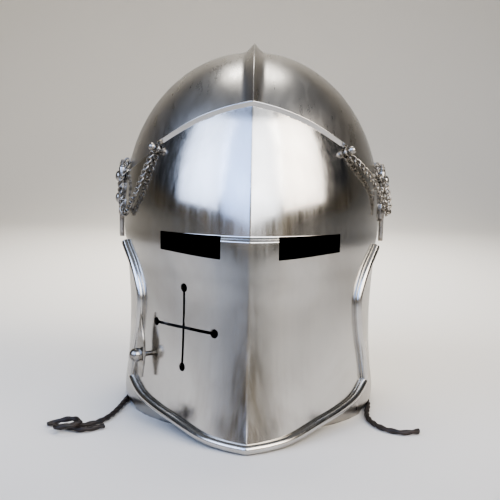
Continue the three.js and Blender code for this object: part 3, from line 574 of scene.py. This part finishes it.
def shellOf(outer, inner):
    # closed shell between two grids of the same size
    rows, columns = outer.shape[:2]
    points = np.concatenate([outer.reshape(-1, 3), inner.reshape(-1, 3)])
    inside = rows * columns
    faces = gridFaces(rows, columns) + gridFaces(rows, columns, inside, True)
    edge = [(0, j) for j in range(columns)] + [(i, columns - 1) for i in range(1, rows)]
    edge += [(rows - 1, j) for j in range(columns - 2, -1, -1)] + [(i, 0) for i in range(rows - 2, 0, -1)]
    for k, (i, j) in enumerate(edge):
        m, n = edge[(k + 1) % len(edge)]
        a, b = i * columns + j, m * columns + n
        faces.append((b, a, a + inside, b + inside))
    return points, faces


def prismAlongY(name, outline, near, far):
    # outline in x and z, from near to far in y
    matrix = Matrix(((1, 0, 0, 0), (0, 0, 1, near), (0, 1, 0, 0), (0, 0, 0, 1)))
    return outlinePlate(name, outline, far - near, matrix)


def takeNormals(piece, source, reach=0.75):
    # corners that lie on the uncut surface shade as it does, so that cuts leave no ripples
    mesh, model = piece.data, source.data
    tree = BVHTree.FromPolygons([v.co for v in model.vertices], [p.vertices for p in model.polygons])
    modelNormals = [v.normal.copy() for v in model.vertices]
    normals = []
    for face in mesh.polygons:
        for corner in face.loop_indices:
            spot = mesh.vertices[mesh.loops[corner].vertex_index].co
            flat, index, away = tree.find_nearest(spot)[1:]
            use = face.normal
            if index is not None and away < 0.0003 and flat.dot(face.normal) > reach:
                corners = model.polygons[index].vertices
                weights = [1 / (1e-7 + (model.vertices[v].co - spot).length) ** 2 for v in corners]
                use = sum((modelNormals[v] * w for v, w in zip(corners, weights)), Vector())
                use.normalize()
            normals.append(use)
    for face in mesh.polygons:
        face.use_smooth = True
    mesh.normals_split_custom_set(normals)


def paintShadeInside(piece):
    # faces that look towards the head keep the black scale of the forge, which is also painted shade seen
    # through the openings
    piece.data.materials.append(scaleAndPaintedShade)
    heart = here(0, 0.01, 0.12)
    for face in piece.data.polygons:
        away = (face.center - heart).normalized()
        if away.dot(face.normal) < -0.45:
            face.material_index = len(piece.data.materials) - 1


def ellipseOutline(across, up, steps=96):
    return [(across * math.cos(2 * math.pi * k / steps),
             up * math.sin(2 * math.pi * k / steps)) for k in range(steps)]


def makeSkull():
    outer, inner = skullGrid(0), skullGrid(skull["sheet"])
    points, faces = shellOf(outer, inner)
    body = meshObject("skull_plate", points, faces, satinSteel)
    whole = body.copy()
    whole.data = body.data.copy()
    half = [(side * skull["eyeHalfWidth"], height * skull["browHeight"]) for side, height in skull["faceGap"]]
    corners = half + [(-a, b) for a, b in reversed(half)]
    dense = [(p.x, p.y) for p in smoothLine([(a, b, 0) for a, b in corners], closed=True, density=0.002)]
    cutters = [prismAlongY("gap", dense, pivotY - 0.158, pivotY - 0.047)]
    arch = ellipseOutline(skull["rimArchHalfLength"], skull["rimArchHeight"])
    matrix = Matrix(((0, 0, 1, -0.17), (1, 0, 0, pivotY), (0, 1, 0, 0), (0, 0, 0, 1)))
    cutters.append(outlinePlate("arch", arch, 0.34, matrix))
    cutBy(body, cutters)
    takeNormals(body, whole)
    paintShadeInside(body)
    bpy.data.meshes.remove(whole.data)
    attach(body, "skull")
    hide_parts("skull")


makeSkull()
print("skull made")


visor = {
    "topHeight": 0.2595, "reach": 0.168, "gap": 0.0028, "tipHeight": 0.0042,
    "stepHeight": 0.160, "stepDrop": 0.0025, "stepDepth": 0.006,
    "lipWidth": 0.0036, "lipSpan": 0.622, "rollRadius": 0.0035,
    "sightHeight": 0.017, "sightInner": 0.022, "sightOuter": 0.0715, "sightRise": 0.0028,
    "crossSide": 0.051, "crossHeight": 0.086, "crossArm": 0.0315, "crossReach": 0.0335,
    "crossSlot": 0.0024, "crossHole": 0.007,
    # height share, then ridge, side and edge as shares of the skull's sizes, and the keel's sharpness
    "sheet": {
        "height": (.012, .101, .203, .305, .406, .487, .569, .619, .711, .782, .863, .944, 1),
        "ridge": (1, .965, .935, .913, .9, .894, .891, .887, .87, .842, .801, .756, .713),
        "side": (.833, .847, .815, .774, .764, .82, .917, .944, .952, .939, .895, .822, .762),
        "edge": (.482, .452, .514, .585, .602, .525, .376, .308, .292, .292, .277, .254, .233),
        "keel": (.3, .28, .25, .22, .2, .17, .15, .14, .12, .12, .12, .12, .12)},
    "top": {"round": (0, .17, .37, .64, .8, 1), "height": (1, .981, .944, .868, .82, .782)},
    "foot": {"round": (0, .15, .3, .5, .7, .85, 1), "height": (0, .002, .009, .029, .047, .064, .1)},
    "columns": 220,
}


def visorEnd(name, spread):
    share = throughColumn(visor[name], "round", "height", np.abs(spread))
    return visor["topHeight"] * share + (visor["tipHeight"] if name == "foot" else 0)


def ledge(spread, height):
    # how far the plate stands forward below the sights' brow
    under = 1 - eased(height, visor["stepHeight"] - visor["stepDrop"] - 0.0004, visor["stepHeight"] + 0.0003)
    return visor["stepDepth"] * under * (1 - eased(np.abs(spread), 0.2, 0.54))


def visorPoints(spread, height, stepped=True):
    # spread runs from -1 to 1 between the side edges
    spread, height = np.asarray(spread, float), np.asarray(height, float)
    share = height / visor["topHeight"]
    ridge = visor["reach"] * throughColumn(visor["sheet"], "height", "ridge", share)
    side = skull["halfWidth"] * throughColumn(visor["sheet"], "height", "side", share) + visor["gap"]
    edge = skull["domeRadius"] * throughColumn(visor["sheet"], "height", "edge", share) + visor["gap"]
    keel = throughColumn(visor["sheet"], "height", "keel", share)

    def form(swing):
        return (1 - keel) * np.cos(swing) + keel * (1 - np.sin(swing))

    low, high = np.zeros_like(share), np.full_like(share, math.pi / 2)
    for _ in range(40):
        middle = (low + high) / 2
        inside = form(middle) > edge / ridge
        low, high = np.where(inside, middle, low), np.where(inside, high, middle)
    swing = low * np.abs(spread)
    reach = ridge * form(swing) + (ledge(spread, height) if stepped else 0)
    side = np.sign(spread) * side / np.sin(low) * np.sin(swing)
    return np.stack([side, pivotY - reach, height + 0 * spread], -1)


def visorNormals(spread, height, stepped=True):
    dr, dh = 0.004, 0.0004
    a = visorPoints(spread + dr, height, stepped) - visorPoints(spread - dr, height, stepped)
    b = visorPoints(spread, height + dh, stepped) - visorPoints(spread, height - dh, stepped)
    normal = np.cross(a, b)
    return normal / np.linalg.norm(normal, axis=-1, keepdims=True)


def onVisor(spread, height):
    spread, height = np.array([float(spread)]), np.array([float(height)])
    return Vector(visorPoints(spread, height)[0]), Vector(visorNormals(spread, height)[0])


def visorGrid():
    spread = np.linspace(-1, 1, visor["columns"] + 1)
    foot, top = visorEnd("foot", spread), visorEnd("top", spread)
    # rows close together at the step over the sights
    share = np.concatenate([np.linspace(0, 0.55, 90, endpoint=False),
                            np.linspace(0.55, 0.66, 50, endpoint=False),
                            np.linspace(0.66, 1, 60)])
    low, high = visor["tipHeight"], visor["topHeight"]
    heights = low + (high - low) * share[:, None] + 0 * spread
    bottom, middle = 0.06, 0.19
    under = np.clip((heights - low) / (bottom - low), 0, 1)
    heights = np.where(heights < bottom, foot + (bottom - foot) * under, heights)
    over = np.clip((heights - middle) / (high - middle), 0, 1)
    heights = np.where(heights > middle, middle + (top - middle) * over, heights)
    spread = spread[None, :] + 0 * heights
    outer = visorPoints(spread, heights)
    inner = visorPoints(spread, heights, False) - visorNormals(spread, heights, False) * skull["sheet"]
    inner[:, :, 1] -= ledge(spread, heights + skull["sheet"])
    return outer, inner


def crossCutters():
    low, high = 0.0, 1.0
    for _ in range(30):
        middle = (low + high) / 2
        short = onVisor(middle, visor["crossHeight"])[0].x < visor["crossSide"]
        low, high = (middle, high) if short else (low, middle)
    centre, normal = onVisor(-low, visor["crossHeight"])
    level = Vector((-normal.y, normal.x, 0)).normalized()
    up = normal.cross(level)
    up = up if up.z > 0 else -up
    turn = Matrix((level, up, level.cross(up))).transposed().to_4x4()
    matrix = Matrix.Translation(centre) @ turn @ Matrix.Translation((0, 0, -0.012))
    arm, reach = visor["crossArm"], visor["crossReach"]
    slot, hole = visor["crossSlot"] / 2, visor["crossHole"] / 2
    cutters = []
    for a, b in ((reach, slot), (slot, arm)):
        cutters.append(outlinePlate("slot", [(-a, -b), (a, -b), (a, b), (-a, b)], 0.024, matrix))
    for a, b in ((1, 0), (-1, 0), (0, 1), (0, -1)):
        ring = [(a * reach + x, b * arm + y) for x, y in roundSection(hole, 40)]
        cutters.append(outlinePlate("hole", ring, 0.024, matrix))
    return cutters


def makeVisorSheet():
    outer, inner = visorGrid()
    points, faces = shellOf(outer, inner)
    body = meshObject("visor_plate", points, faces, mirrorSteel)
    whole = body.copy()
    whole.data = body.data.copy()
    cutters = []
    foot, top = visor["stepHeight"] - visor["sightHeight"], visor["stepHeight"] + 0.0004
    for hand in (-1, 1):
        a, b = visor["sightInner"], visor["sightOuter"]
        corners = rounded([(a, top), (a, foot), (b, foot + visor["sightRise"]), (b, top)], 0.0006, 4)
        outline = [(hand * x, z) for x, z in corners[::hand]]
        cutters.append(prismAlongY("sight", outline, pivotY - 0.2, pivotY - 0.0715))
    cutBy(body, cutters + crossCutters())
    takeNormals(body, whole)
    bpy.data.meshes.remove(whole.data)
    paintShadeInside(body)
    return body


def makeLip():
    # flange turned out along the brow, with a small fillet at its root
    stops = 150
    points, faces = [], []
    width = visor["lipWidth"] + skull["sheet"] * 0.8
    profile = rounded([(-0.0004, -0.0008), (width - 0.0004, -0.0007), (width, 0.0001),
                       (width - 0.0005, 0.00095), (0.0012, 0.0008), (-0.0012, 0.0008)], 0.0005, 3)
    for i in range(stops + 1):
        spread = visor["lipSpan"] * (2 * i / stops - 1)
        height = float(visorEnd("top", np.array([spread]))[0])
        skin, normal = onVisor(spread, height)
        ahead = onVisor(spread + 0.01, float(visorEnd("top", np.array([spread + 0.01]))[0]))[0]
        run = (ahead - skin).normalized()
        up = normal.cross(run).normalized()
        up = up if up.z > 0 else -up
        out = (normal * 0.8 + up * 0.6).normalized()
        flat = run.cross(out).normalized()
        flat = flat if flat.z > 0 else -flat
        root = skin - normal * skull["sheet"] * 0.6
        end = min(1, (visor["lipSpan"] - abs(spread)) / 0.02 + 0.35)   # corners rounded off
        points += [root + out * (a * end if a > 0 else a) + flat * b for a, b in profile]
    ring = len(profile)
    for i in range(stops):
        for k in range(ring):
            m = (k + 1) % ring
            faces.append((i * ring + k, (i + 1) * ring + k, (i + 1) * ring + m, i * ring + m))
    faces.append(tuple(range(ring)))
    faces.append(tuple(reversed(range(stops * ring, (stops + 1) * ring))))
    return creased(meshObject("visor_lip", points, faces, mirrorSteel), 48)


def makeRoll():
    sideTop, sideFoot = 0.56 * visor["topHeight"], float(visorEnd("foot", np.array([1.0]))[0])
    path = [(-1, sideTop + (sideFoot - sideTop) * k / 50) for k in range(50)]
    for k in range(161):
        spread = -1 + 2 * k / 160
        path.append((spread, float(visorEnd("foot", np.array([spread]))[0])))
    path += [(1, sideFoot + (sideTop - sideFoot) * k / 50) for k in range(1, 51)]
    line = []
    for spread, height in path:
        skin, normal = onVisor(spread, height)
        line.append(skin + normal * visor["rollRadius"] * 0.4)
    line = [p for k, p in enumerate(line) if k == 0 or (p - line[k - 1]).length > 1e-5]
    smoothed = [(a + b * 2 + c) / 4 for a, b, c in zip(line, line[1:], line[2:])]
    section = roundSection(visor["rollRadius"], 20)
    roll = sweptMesh("visor_roll", [line[0]] + smoothed + [line[-1]], section, material=mirrorSteel)
    return creased(roll, 60)


# hinges: arm, leaf, rivets and drawn pin on each side
hinge = {
    "tilt": 0.105, "armOffset": 0.0025, "armThickness": 0.0040, "leafThickness": 0.0013,
    "barrelReach": 0.039, "barrelRadius": 0.0032, "barrelLow": 0.168, "barrelHigh": 0.209,
    "knuckleHeight": 0.014,
    "pinRadius": 0.0015, "eyeRadius": 0.0023, "eyeWire": 0.0009, "eyeOffset": 0.0044, "eyeRise": 0.0046,
    "rivetHead": 0.0052, "rivetRise": 0.0039, "shank": 0.0024, "rivetReach": 0.014, "rivetUp": 0.020,
    "armFall": 0.034,
}
barrelSide = skull["halfWidth"] - 0.0011
knuckleLow = (hinge["barrelLow"] + hinge["barrelHigh"] - hinge["knuckleHeight"]) / 2
knuckleHigh = knuckleLow + hinge["knuckleHeight"]


def makeBarrel(name, hand, low, high, material):
    radius, edge = hinge["barrelRadius"], 0.0005
    profile = [(0, low), (radius - edge, low), (radius - edge * 0.3, low + edge * 0.3), (radius, low + edge),
               (radius, high - edge), (radius - edge * 0.3, high - edge * 0.3), (radius - edge, high),
               (0, high)]
    return turned(name, profile, here(hand * barrelSide, -hinge["barrelReach"], 0), (0, 0, 1), 40, material)


def makeVisor():
    sheet = makeVisorSheet()
    trims = [makeLip(), makeRoll()]
    for hand in (-1, 1):
        trims.append(makeBarrel("knuckle", hand, knuckleLow, knuckleHigh, fittingSteel))
    piece = joined("visor_plate", [sheet] + trims)
    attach(piece, "visor")
    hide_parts("visor")


makeVisor()
print("visor made")


def hingeMatrix(hand, out):
    # y along the helmet, z up, x out of the plate, from the visor's axis
    place = here(hand * (skull["halfWidth"] + out), 0, pivotZ)
    return Matrix.Translation(place) @ Matrix.Rotation(-hand * hinge["tilt"], 4, "Z")


def hingePlate(name, hand, outline, out, thickness, material):
    shift = 0 if hand > 0 else -thickness
    stand = Matrix(((0, 0, 1, shift), (1, 0, 0, 0), (0, 1, 0, 0), (0, 0, 0, 1)))
    return outlinePlate(name, outline, thickness, hingeMatrix(hand, out) @ stand, material)


def armOutline():
    points = []

    def lobe(y, z, radius, start, end, steps):
        for k in range(steps + 1):
            turn = start + (end - start) * k / steps
            points.append((y + radius * math.cos(turn), z + radius * math.sin(turn)))

    head = hinge["rivetHead"]
    lobe(0, 0, head * 2.1, -0.8, 0.35, 14)
    lobe(-hinge["rivetReach"], hinge["rivetUp"], head * 2.5, 0.25, 3.1, 40)
    lobe(-hinge["rivetReach"], head * 1.15 - hinge["armFall"], head * 1.15, 3.2, 5.5, 24)
    return points


def domeHead(radius, rise, foot, steps=14):
    # rivet head from its rim to its crown
    return [(radius * math.cos(t), foot + rise * math.sin(t) ** 0.85)
            for t in (math.pi / 2 * k / steps for k in range(steps))] + [(0, foot + rise)]


def makeHinge(name, hand):
    head, shank = hinge["rivetHead"], hinge["shank"]
    arm = hingePlate(f"arm_{name}", hand, armOutline(), hinge["armOffset"], hinge["armThickness"],
                     fittingSteel)
    bevelled(arm, 0.0006)
    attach(arm, "visor")
    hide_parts(f"hinge_arm_{name}")

    low, high, rear = hinge["barrelLow"] - pivotZ, hinge["barrelHigh"] - pivotZ, -head - 0.0015
    outline = [(-hinge["barrelReach"], low + 0.002), (rear - 0.004, low + 0.002), (rear, low + 0.008),
               (rear, high - 0.008), (rear - 0.004, high - 0.002), (-hinge["barrelReach"], high - 0.002)]
    out = hinge["armOffset"] - 0.0003 - hinge["leafThickness"]
    leaf = hingePlate(f"leaf_{name}", hand, outline, out, hinge["leafThickness"], fittingSteel)
    room = makeBarrel("room", hand, knuckleLow - 0.0004, knuckleHigh + 0.0004, fittingSteel)
    for vertex in room.data.vertices:
        vertex.co.x = hand * barrelSide + (vertex.co.x - hand * barrelSide) * 1.2
        vertex.co.y = pivotY - hinge["barrelReach"] + (vertex.co.y - pivotY + hinge["barrelReach"]) * 1.2
    cutBy(leaf, [room])
    bevelled(leaf, 0.0003, 2)
    barrels = [makeBarrel("low_barrel", hand, hinge["barrelLow"], knuckleLow - 0.0004, fittingSteel),
               makeBarrel("high_barrel", hand, knuckleHigh + 0.0004, hinge["barrelHigh"], fittingSteel)]
    leaf = joined(f"leaf_{name}", [leaf] + barrels)
    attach(leaf, "visor")
    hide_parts(f"hinge_leaf_{name}")

    inside = -skull["sheet"] - 0.0006
    face = hinge["armOffset"] + hinge["armThickness"] + 0.0003 + head * hinge["tilt"]
    profile = rounded([(0, inside - 0.0016), (head * 0.8, inside - 0.0016), (head * 0.8, inside),
                       (shank, inside), (shank, face), (head, face)], 0.0003, 3)
    profile += domeHead(head, hinge["rivetRise"], face)[1:]
    place = here(hand * skull["halfWidth"], 0, pivotZ)
    rivet = turned(f"pivot_rivet_head_{name}", profile, place, (hand, 0, 0), 56, fittingSteel)
    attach(rivet, "skull")
    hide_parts(f"pivot_rivet_{name}")

    plate = hingeMatrix(hand, 0)
    place = plate @ Vector((0, -hinge["rivetReach"], hinge["rivetUp"]))
    inside = hinge["armOffset"] - hinge["leafThickness"] - 0.0005
    face = hinge["armOffset"] + hinge["armThickness"] + 0.0001
    profile = rounded([(0, inside - 0.0007), (head * 0.6, inside - 0.0007), (head * 0.6, inside),
                       (shank, inside), (shank, face), (head, face)], 0.0003, 3)
    profile += domeHead(head, hinge["rivetRise"], face)[1:]
    second = turned(f"arm_rivet_head_{name}", profile, place, plate.to_3x3() @ Vector((hand, 0, 0)), 56,
                    fittingSteel)
    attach(second, "visor")
    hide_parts(f"arm_rivet_{name}")

    top, pin = hinge["barrelHigh"] + 0.0003, hinge["pinRadius"]
    profile = rounded([(0, hinge["barrelLow"] - 0.0025), (pin * 0.8, hinge["barrelLow"] - 0.0024),
                       (pin, hinge["barrelLow"] - 0.0018), (pin, top), (pin * 1.8, top),
                       (pin * 1.8, top + 0.0012), (pin, top + 0.002),
                       (pin, top + hinge["eyeRise"] + 0.001),
                       (pin * 0.6, top + hinge["eyeRise"] + 0.0015),
                       (0, top + hinge["eyeRise"] + 0.0016)], 0.0004, 3)
    base = here(hand * barrelSide, -hinge["barrelReach"], 0)
    post = turned("post", profile, base, (0, 0, 1), 32, wireSteel)
    eyeMiddle = here(hand * (barrelSide - hinge["eyeOffset"]), -hinge["barrelReach"], top + hinge["eyeRise"])
    loop = [eyeMiddle + Vector((hinge["eyeRadius"] * math.cos(t), 0, hinge["eyeRadius"] * math.sin(t)))
            for t in (2 * math.pi * k / 40 for k in range(40))]
    wire = roundSection(hinge["eyeWire"], 12)
    eye = sweptMesh("eye", loop, wire, closed=True, up=(0, 1, 0), material=wireSteel)
    neck = [base + Vector((0, 0, top + hinge["eyeRise"])),
            eyeMiddle + Vector((hand * hinge["eyeRadius"], 0, 0))]
    stem = sweptMesh("stem", neck, wire, up=(0, 0, 1), material=wireSteel)
    pinPiece = joined(f"pin_{name}", [post, eye, stem])
    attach(pinPiece, "visor")
    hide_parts(f"hinge_pin_{name}")


for side, hand in (("left", -1), ("right", 1)):
    makeHinge(side, hand)
print("hinges made")


# keeper chains: ball stud, ring, twisted links to the pin's eye
chain = {
    "studSpread": 0.61, "linkLength": 0.0084, "linkWidth": 0.0068, "wire": 0.00080, "twist": 78,
    "ring": 0.0031, "ball": 0.0033, "neckRadius": 0.0011, "neck": 0.0038,
    "left": ((.0819, -.0899, .2197), (.0856, -.090, .2113), (.0899, -.0888, .2008), (.0953, -.0844, .1884),
             (.1011, -.0755, .1781), (.1058, -.0663, .1708), (.1101, -.0581, .1745), (.1116, -.0534, .1839),
             (.1125, -.0512, .1953), (.1089, -.0436, .2066)),
    "right": ((.0813, -.0901, .2203), (.0885, -.0863, .2147), (.0961, -.0792, .2072), (.1029, -.0707, .1996),
              (.1085, -.0623, .1911), (.1126, -.0556, .1818), (.1156, -.0508, .1742), (.1184, -.0471, .1769),
              (.1178, -.0462, .1863), (.1147, -.046, .1984), (.1089, -.0436, .2066)),
}


def makeLink(place, run, side, length, width, twist=0.0):
    # oval wire link, its two ends turned against each other as in a curb chain
    high = run.cross(side)
    straight, bend = (length - width) / 2, width / 2 - chain["wire"]
    line = []
    for k in range(30):
        t = 2 * math.pi * (k + 0.5) / 30
        along = bend * math.cos(t) + straight * max(-1, min(1, math.cos(t) * 2.2))
        across = bend * math.sin(t)
        roll = twist * along / length
        line.append(place + run * along + (side * math.cos(roll) + high * math.sin(roll)) * across)
    return sweptMesh("link", line, roundSection(chain["wire"], 9), closed=True, up=high, material=wireSteel)


def studPlace(hand):
    spread = hand * chain["studSpread"]
    return onVisor(spread, float(visorEnd("top", np.array([spread]))[0]) - 0.0029)


def makeChain(name, hand):
    skin, out = studPlace(hand)
    ball, neck = chain["ball"], chain["neck"]
    middle = neck + ball * 0.85
    profile = rounded([(0, 0.0001), (ball * 0.75, 0.0001), (ball * 0.7, 0.0009),
                       (chain["neckRadius"], 0.0012), (chain["neckRadius"], neck)], 0.0003, 3)
    profile += [(ball * math.cos(t), middle + ball * math.sin(t))
                for t in (-1.15 + (math.pi / 2 + 1.15) * k / 22 for k in range(1, 22))] + [(0, middle + ball)]
    stud = turned(f"ball_stud_{name}", profile, skin, out, 40, fittingSteel)
    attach(stud, "visor")
    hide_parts(f"chain_stud_{name}")

    route = smoothLine([here(hand * x, y, z) for x, y, z in chain[name]], density=0.0004)
    lengths = [0.0]
    for a, b in zip(route, route[1:]):
        lengths.append(lengths[-1] + (b - a).length)
    pitch = chain["linkLength"] - 4 * chain["wire"] + 0.0003
    count = round(lengths[-1] / pitch)
    top = hinge["barrelHigh"] + 0.0003 + hinge["eyeRise"]
    eye = here(hand * (barrelSide - hinge["eyeOffset"]), -hinge["barrelReach"], top - chain["ring"])
    start = skin + out * 0.0022
    down = (route[1] - route[0]).normalized()
    down = (down - out * down.dot(out)).normalized()
    ring = 2 * (chain["ring"] + chain["wire"])
    links = [makeLink(start, down, out.cross(down), ring, ring),
             makeLink(eye, Vector((0, 0, 1)), Vector((0, 1, 0)), ring, ring)]
    side = Vector((hand, -0.6, 0.1)).cross(down).normalized()
    before = down
    for i in range(count + 1):
        goal = lengths[-1] * i / count
        k = min(max(int(np.searchsorted(lengths, goal)), 1), len(route) - 1)
        share = (goal - lengths[k - 1]) / (lengths[k] - lengths[k - 1])
        place = route[k - 1].lerp(route[k], share)
        run = (route[min(k + 3, len(route) - 1)] - route[max(k - 4, 0)]).normalized()
        side = before.rotation_difference(run) @ side
        side = (side - run * side.dot(run)).normalized()
        before = run
        links.append(makeLink(place, run, side, chain["linkLength"], chain["linkWidth"],
                              math.radians(chain["twist"])))
    piece = joined(f"keeper_links_{name}", links)
    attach(piece, "visor")
    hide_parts(f"keeper_chain_{name}")


for side, hand in (("left", -1), ("right", 1)):
    makeChain(side, hand)
print("chains made")


# latch: post through the visor, leaf lever with a knob
latch = {
    "spread": -0.82, "height": 0.057, "stand": 0.0059, "leafUp": 0.034, "leafDown": 0.019,
    "leafWidth": 0.0115, "thickness": 0.0022, "knob": 0.0058, "post": 0.002,
}


def makeLatch():
    place, out = onVisor(latch["spread"], latch["height"])
    out = Vector((out.x, out.y, 0)).normalized()
    post, collar = latch["post"], latch["stand"]
    inside = -skull["sheet"] * 1.3 - 0.0003
    profile = rounded([(0, inside - 0.0012), (post * 1.9, inside - 0.0012), (post * 1.9, inside),
                       (post, inside), (post, collar - 0.0012), (post * 1.9, collar - 0.0012),
                       (post * 1.9, collar), (post, collar), (post, collar + 0.005),
                       (0, collar + 0.005)], 0.0003, 3)
    rod = turned("latch_rod", profile, place, out, 32, wireSteel)
    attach(rod, "visor")
    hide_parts("latch_post")

    def bow(a, b, c, d, steps=18):
        points = []
        for t in (k / steps for k in range(steps)):
            w, x, y, z = (1 - t) ** 3, 3 * t * (1 - t) ** 2, 3 * t * t * (1 - t), t ** 3
            points.append(tuple(a[i] * w + b[i] * x + c[i] * y + d[i] * z for i in (0, 1)))
        return points

    up, down, half = latch["leafUp"], latch["leafDown"], latch["leafWidth"] / 2
    outline = bow((0, up), (half * .3, up * .55), (half, up * .5), (half, up * .08))
    outline += bow((half, up * .08), (half, -down * .4), (half * .5, -down * .5), (half * .3, -down))
    outline.append((half * .3, -down))
    outline += [(-x, z) for x, z in reversed(outline[1:])]
    level = Vector((-out.y, out.x, 0))
    basis = Matrix((level, Vector((0, 0, 1)), level.cross(Vector((0, 0, 1))))).transposed().to_4x4()
    start = collar + 0.0003 if (basis.col[2].to_3d()).dot(out) > 0 else collar + 0.0003 + latch["thickness"]
    matrix = Matrix.Translation(place + out * start) @ basis
    leaf = outlinePlate("leaf_lever", outline, latch["thickness"], matrix, fittingSteel)
    bevelled(leaf, 0.0007, 3)
    face, knob = collar + 0.0003 + latch["thickness"], latch["knob"]
    middle = face + knob * 0.62
    profile = rounded([(0, face - 0.0004), (knob * .62, face - 0.0004), (knob * .62, face + 0.0008),
                       (knob * .55, face + 0.0012)], 0.0003, 3)
    profile += [(knob * math.cos(t), middle + knob * math.sin(t))
                for t in (-0.75 + (math.pi / 2 + 0.75) * k / 26 for k in range(1, 26))] + [(0, middle + knob)]
    ball = turned("ball", profile, place, out, 48, fittingSteel)
    lever = joined("leaf_lever", [leaf, ball])
    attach(lever, "latch")
    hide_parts("latch_lever")


makeLatch()
print("latch made")


# pale floor and backdrop, soft panels like windows
studio = {
    "floorTone": "#d9d4cb", "backDepth": 2.6, "bend": 0.8, "height": 3.2,
    # tones of the room that the steel mirrors, from the floor line up to the ceiling
    "room": ((0.0, "#6b5d4e"), (0.44, "#8a7c69"), (0.5, "#cbbda5"), (0.55, "#bcae98"), (0.61, "#74777e"),
             (0.8, "#8b8f96"), (1.0, "#b0b3b8")),
    "roomStrength": 0.75, "sideShade": 0.8, "streakShade": 0.55,
    "lights": (   # name, place, what it faces, size, watts, spread in degrees, colour
        ("window_one", (-1.30, -0.75, 0.98), (0, 0, 0.2), (1.05, 1.3), 4.2, 80, "#c9dbff"),
        ("window_two", (-0.61, -1.37, 1.02), (0, 0, 0.2), (1.1, 1.5), 4.6, 80, "#a9c6ff"),
        ("window_three", (0.61, -1.37, 1.02), (0, 0, 0.2), (1.1, 1.5), 6.0, 80, "#eef2fa"),
        ("window_four", (1.30, -0.75, 0.98), (0, 0, 0.2), (1.05, 1.3), 5.6, 80, "#fff6ec"),
        ("floor_pool", (0.0, 1.05, 1.3), (0, 1.0, 0), (0.7, 1.5), 11, 75, "#f6f3ee"),
        ("wall_wash", (0.0, 1.3, 2.7), (0, 2.6, 0.7), (3.2, 0.5), 22, 120, "#f4f2ee"),
    ),
}


def makeBackdrop():
    # floor that bends up into a wall behind
    depth, bend, height = studio["backDepth"], studio["bend"], studio["height"]
    line = [(-4.0, 0.0), (depth - bend, 0.0)]
    line += [(depth - bend + bend * math.sin(t), bend - bend * math.cos(t))
             for t in (math.pi / 2 * k / 24 for k in range(1, 25))] + [(depth, height)]
    points = [(x, y, z) for y, z in line for x in (-9.0, 9.0)]
    faces = [(2 * k, 2 * k + 1, 2 * k + 3, 2 * k + 2) for k in range(len(line) - 1)]
    material, tree = newMaterial("painted_plaster_floor")   # pale matt paint, which keeps shadows soft
    place = addNode(tree, "ShaderNodeTexCoord", out="Object")
    mottle = addNode(tree, "ShaderNodeTexNoise", {"Scale": 7.0, "Detail": 4.0}, {"Vector": place}, out="Fac")
    grain = addNode(tree, "ShaderNodeBump", {"Strength": 0.05, "Distance": 0.001}, {"Height": mottle},
                    out="Normal")
    shader = addNode(tree, "ShaderNodeBsdfPrincipled",
                     {"Base Color": linearColour(studio["floorTone"]), "Roughness": 0.75}, {"Normal": grain})
    addNode(tree, "ShaderNodeOutputMaterial", links={"Surface": shader.outputs[0]})
    meshObject("floor", points, faces, material)


def makeLights():
    for name, place, target, size, watts, spread, tone in studio["lights"]:
        data = bpy.data.lights.new(name, "AREA")
        data.shape = "RECTANGLE"
        data.size, data.size_y = size
        data.energy = watts
        data.spread = math.radians(spread)
        data.color = linearColour(tone)[:3]
        light = bpy.data.objects.new(name, data)
        aim = (Vector(target) - Vector(place)).to_track_quat("-Z", "Y")
        light.matrix_world = Matrix.Translation(place) @ aim.to_matrix().to_4x4()
        bpy.context.scene.collection.objects.link(light)
    world = bpy.data.worlds.new("studio")
    world.use_nodes = True
    tree = world.node_tree
    tree.nodes.clear()
    way = addNode(tree, "ShaderNodeTexCoord", out="Generated")
    parts = addNode(tree, "ShaderNodeSeparateXYZ", links={"Vector": way}).outputs
    level = addNode(tree, "ShaderNodeMapRange", {"From Min": -1.0, "From Max": 1.0}, {"Value": parts["Z"]},
                    out=0)
    tone = addNode(tree, "ShaderNodeValToRGB", {"stops": studio["room"]}, {"Fac": level}, out="Color")
    # darker to both sides, and upright shades like those of doors and curtains
    aside = addNode(tree, "ShaderNodeMath", {"operation": "MULTIPLY"}, {0: parts["X"], 1: parts["X"]}, out=0)
    aside = addNode(tree, "ShaderNodeMath", {"operation": "MULTIPLY_ADD", 1: -studio["sideShade"], 2: 1.0},
                    {0: aside}, out=0)
    upright = addNode(tree, "ShaderNodeMapping", {"Scale": (3.2, 3.2, 0.35)}, {"Vector": way}, out="Vector")
    shades = addNode(tree, "ShaderNodeTexNoise", {"Scale": 1.6, "Detail": 3.0, "Roughness": 0.55},
                     {"Vector": upright}, out="Fac")
    shades = addNode(tree, "ShaderNodeMapRange",
                     {"From Min": 0.38, "From Max": 0.62, "To Min": 1 - studio["streakShade"], "To Max": 1.25},
                     {"Value": shades}, out=0)
    power = addNode(tree, "ShaderNodeMath", {"operation": "MULTIPLY"}, {0: aside, 1: shades}, out=0)
    power = addNode(tree, "ShaderNodeMath", {"operation": "MULTIPLY", 1: studio["roomStrength"]},
                    {0: power}, out=0)
    sky = addNode(tree, "ShaderNodeBackground", links={"Color": tone, "Strength": power})
    addNode(tree, "ShaderNodeOutputWorld", links={"Surface": sky.outputs[0]})
    bpy.context.scene.world = world


makeBackdrop()
makeLights()
bpy.context.scene.view_settings.look = "AgX - Medium High Contrast"   # crisp lights as on polished plate
print("studio made")
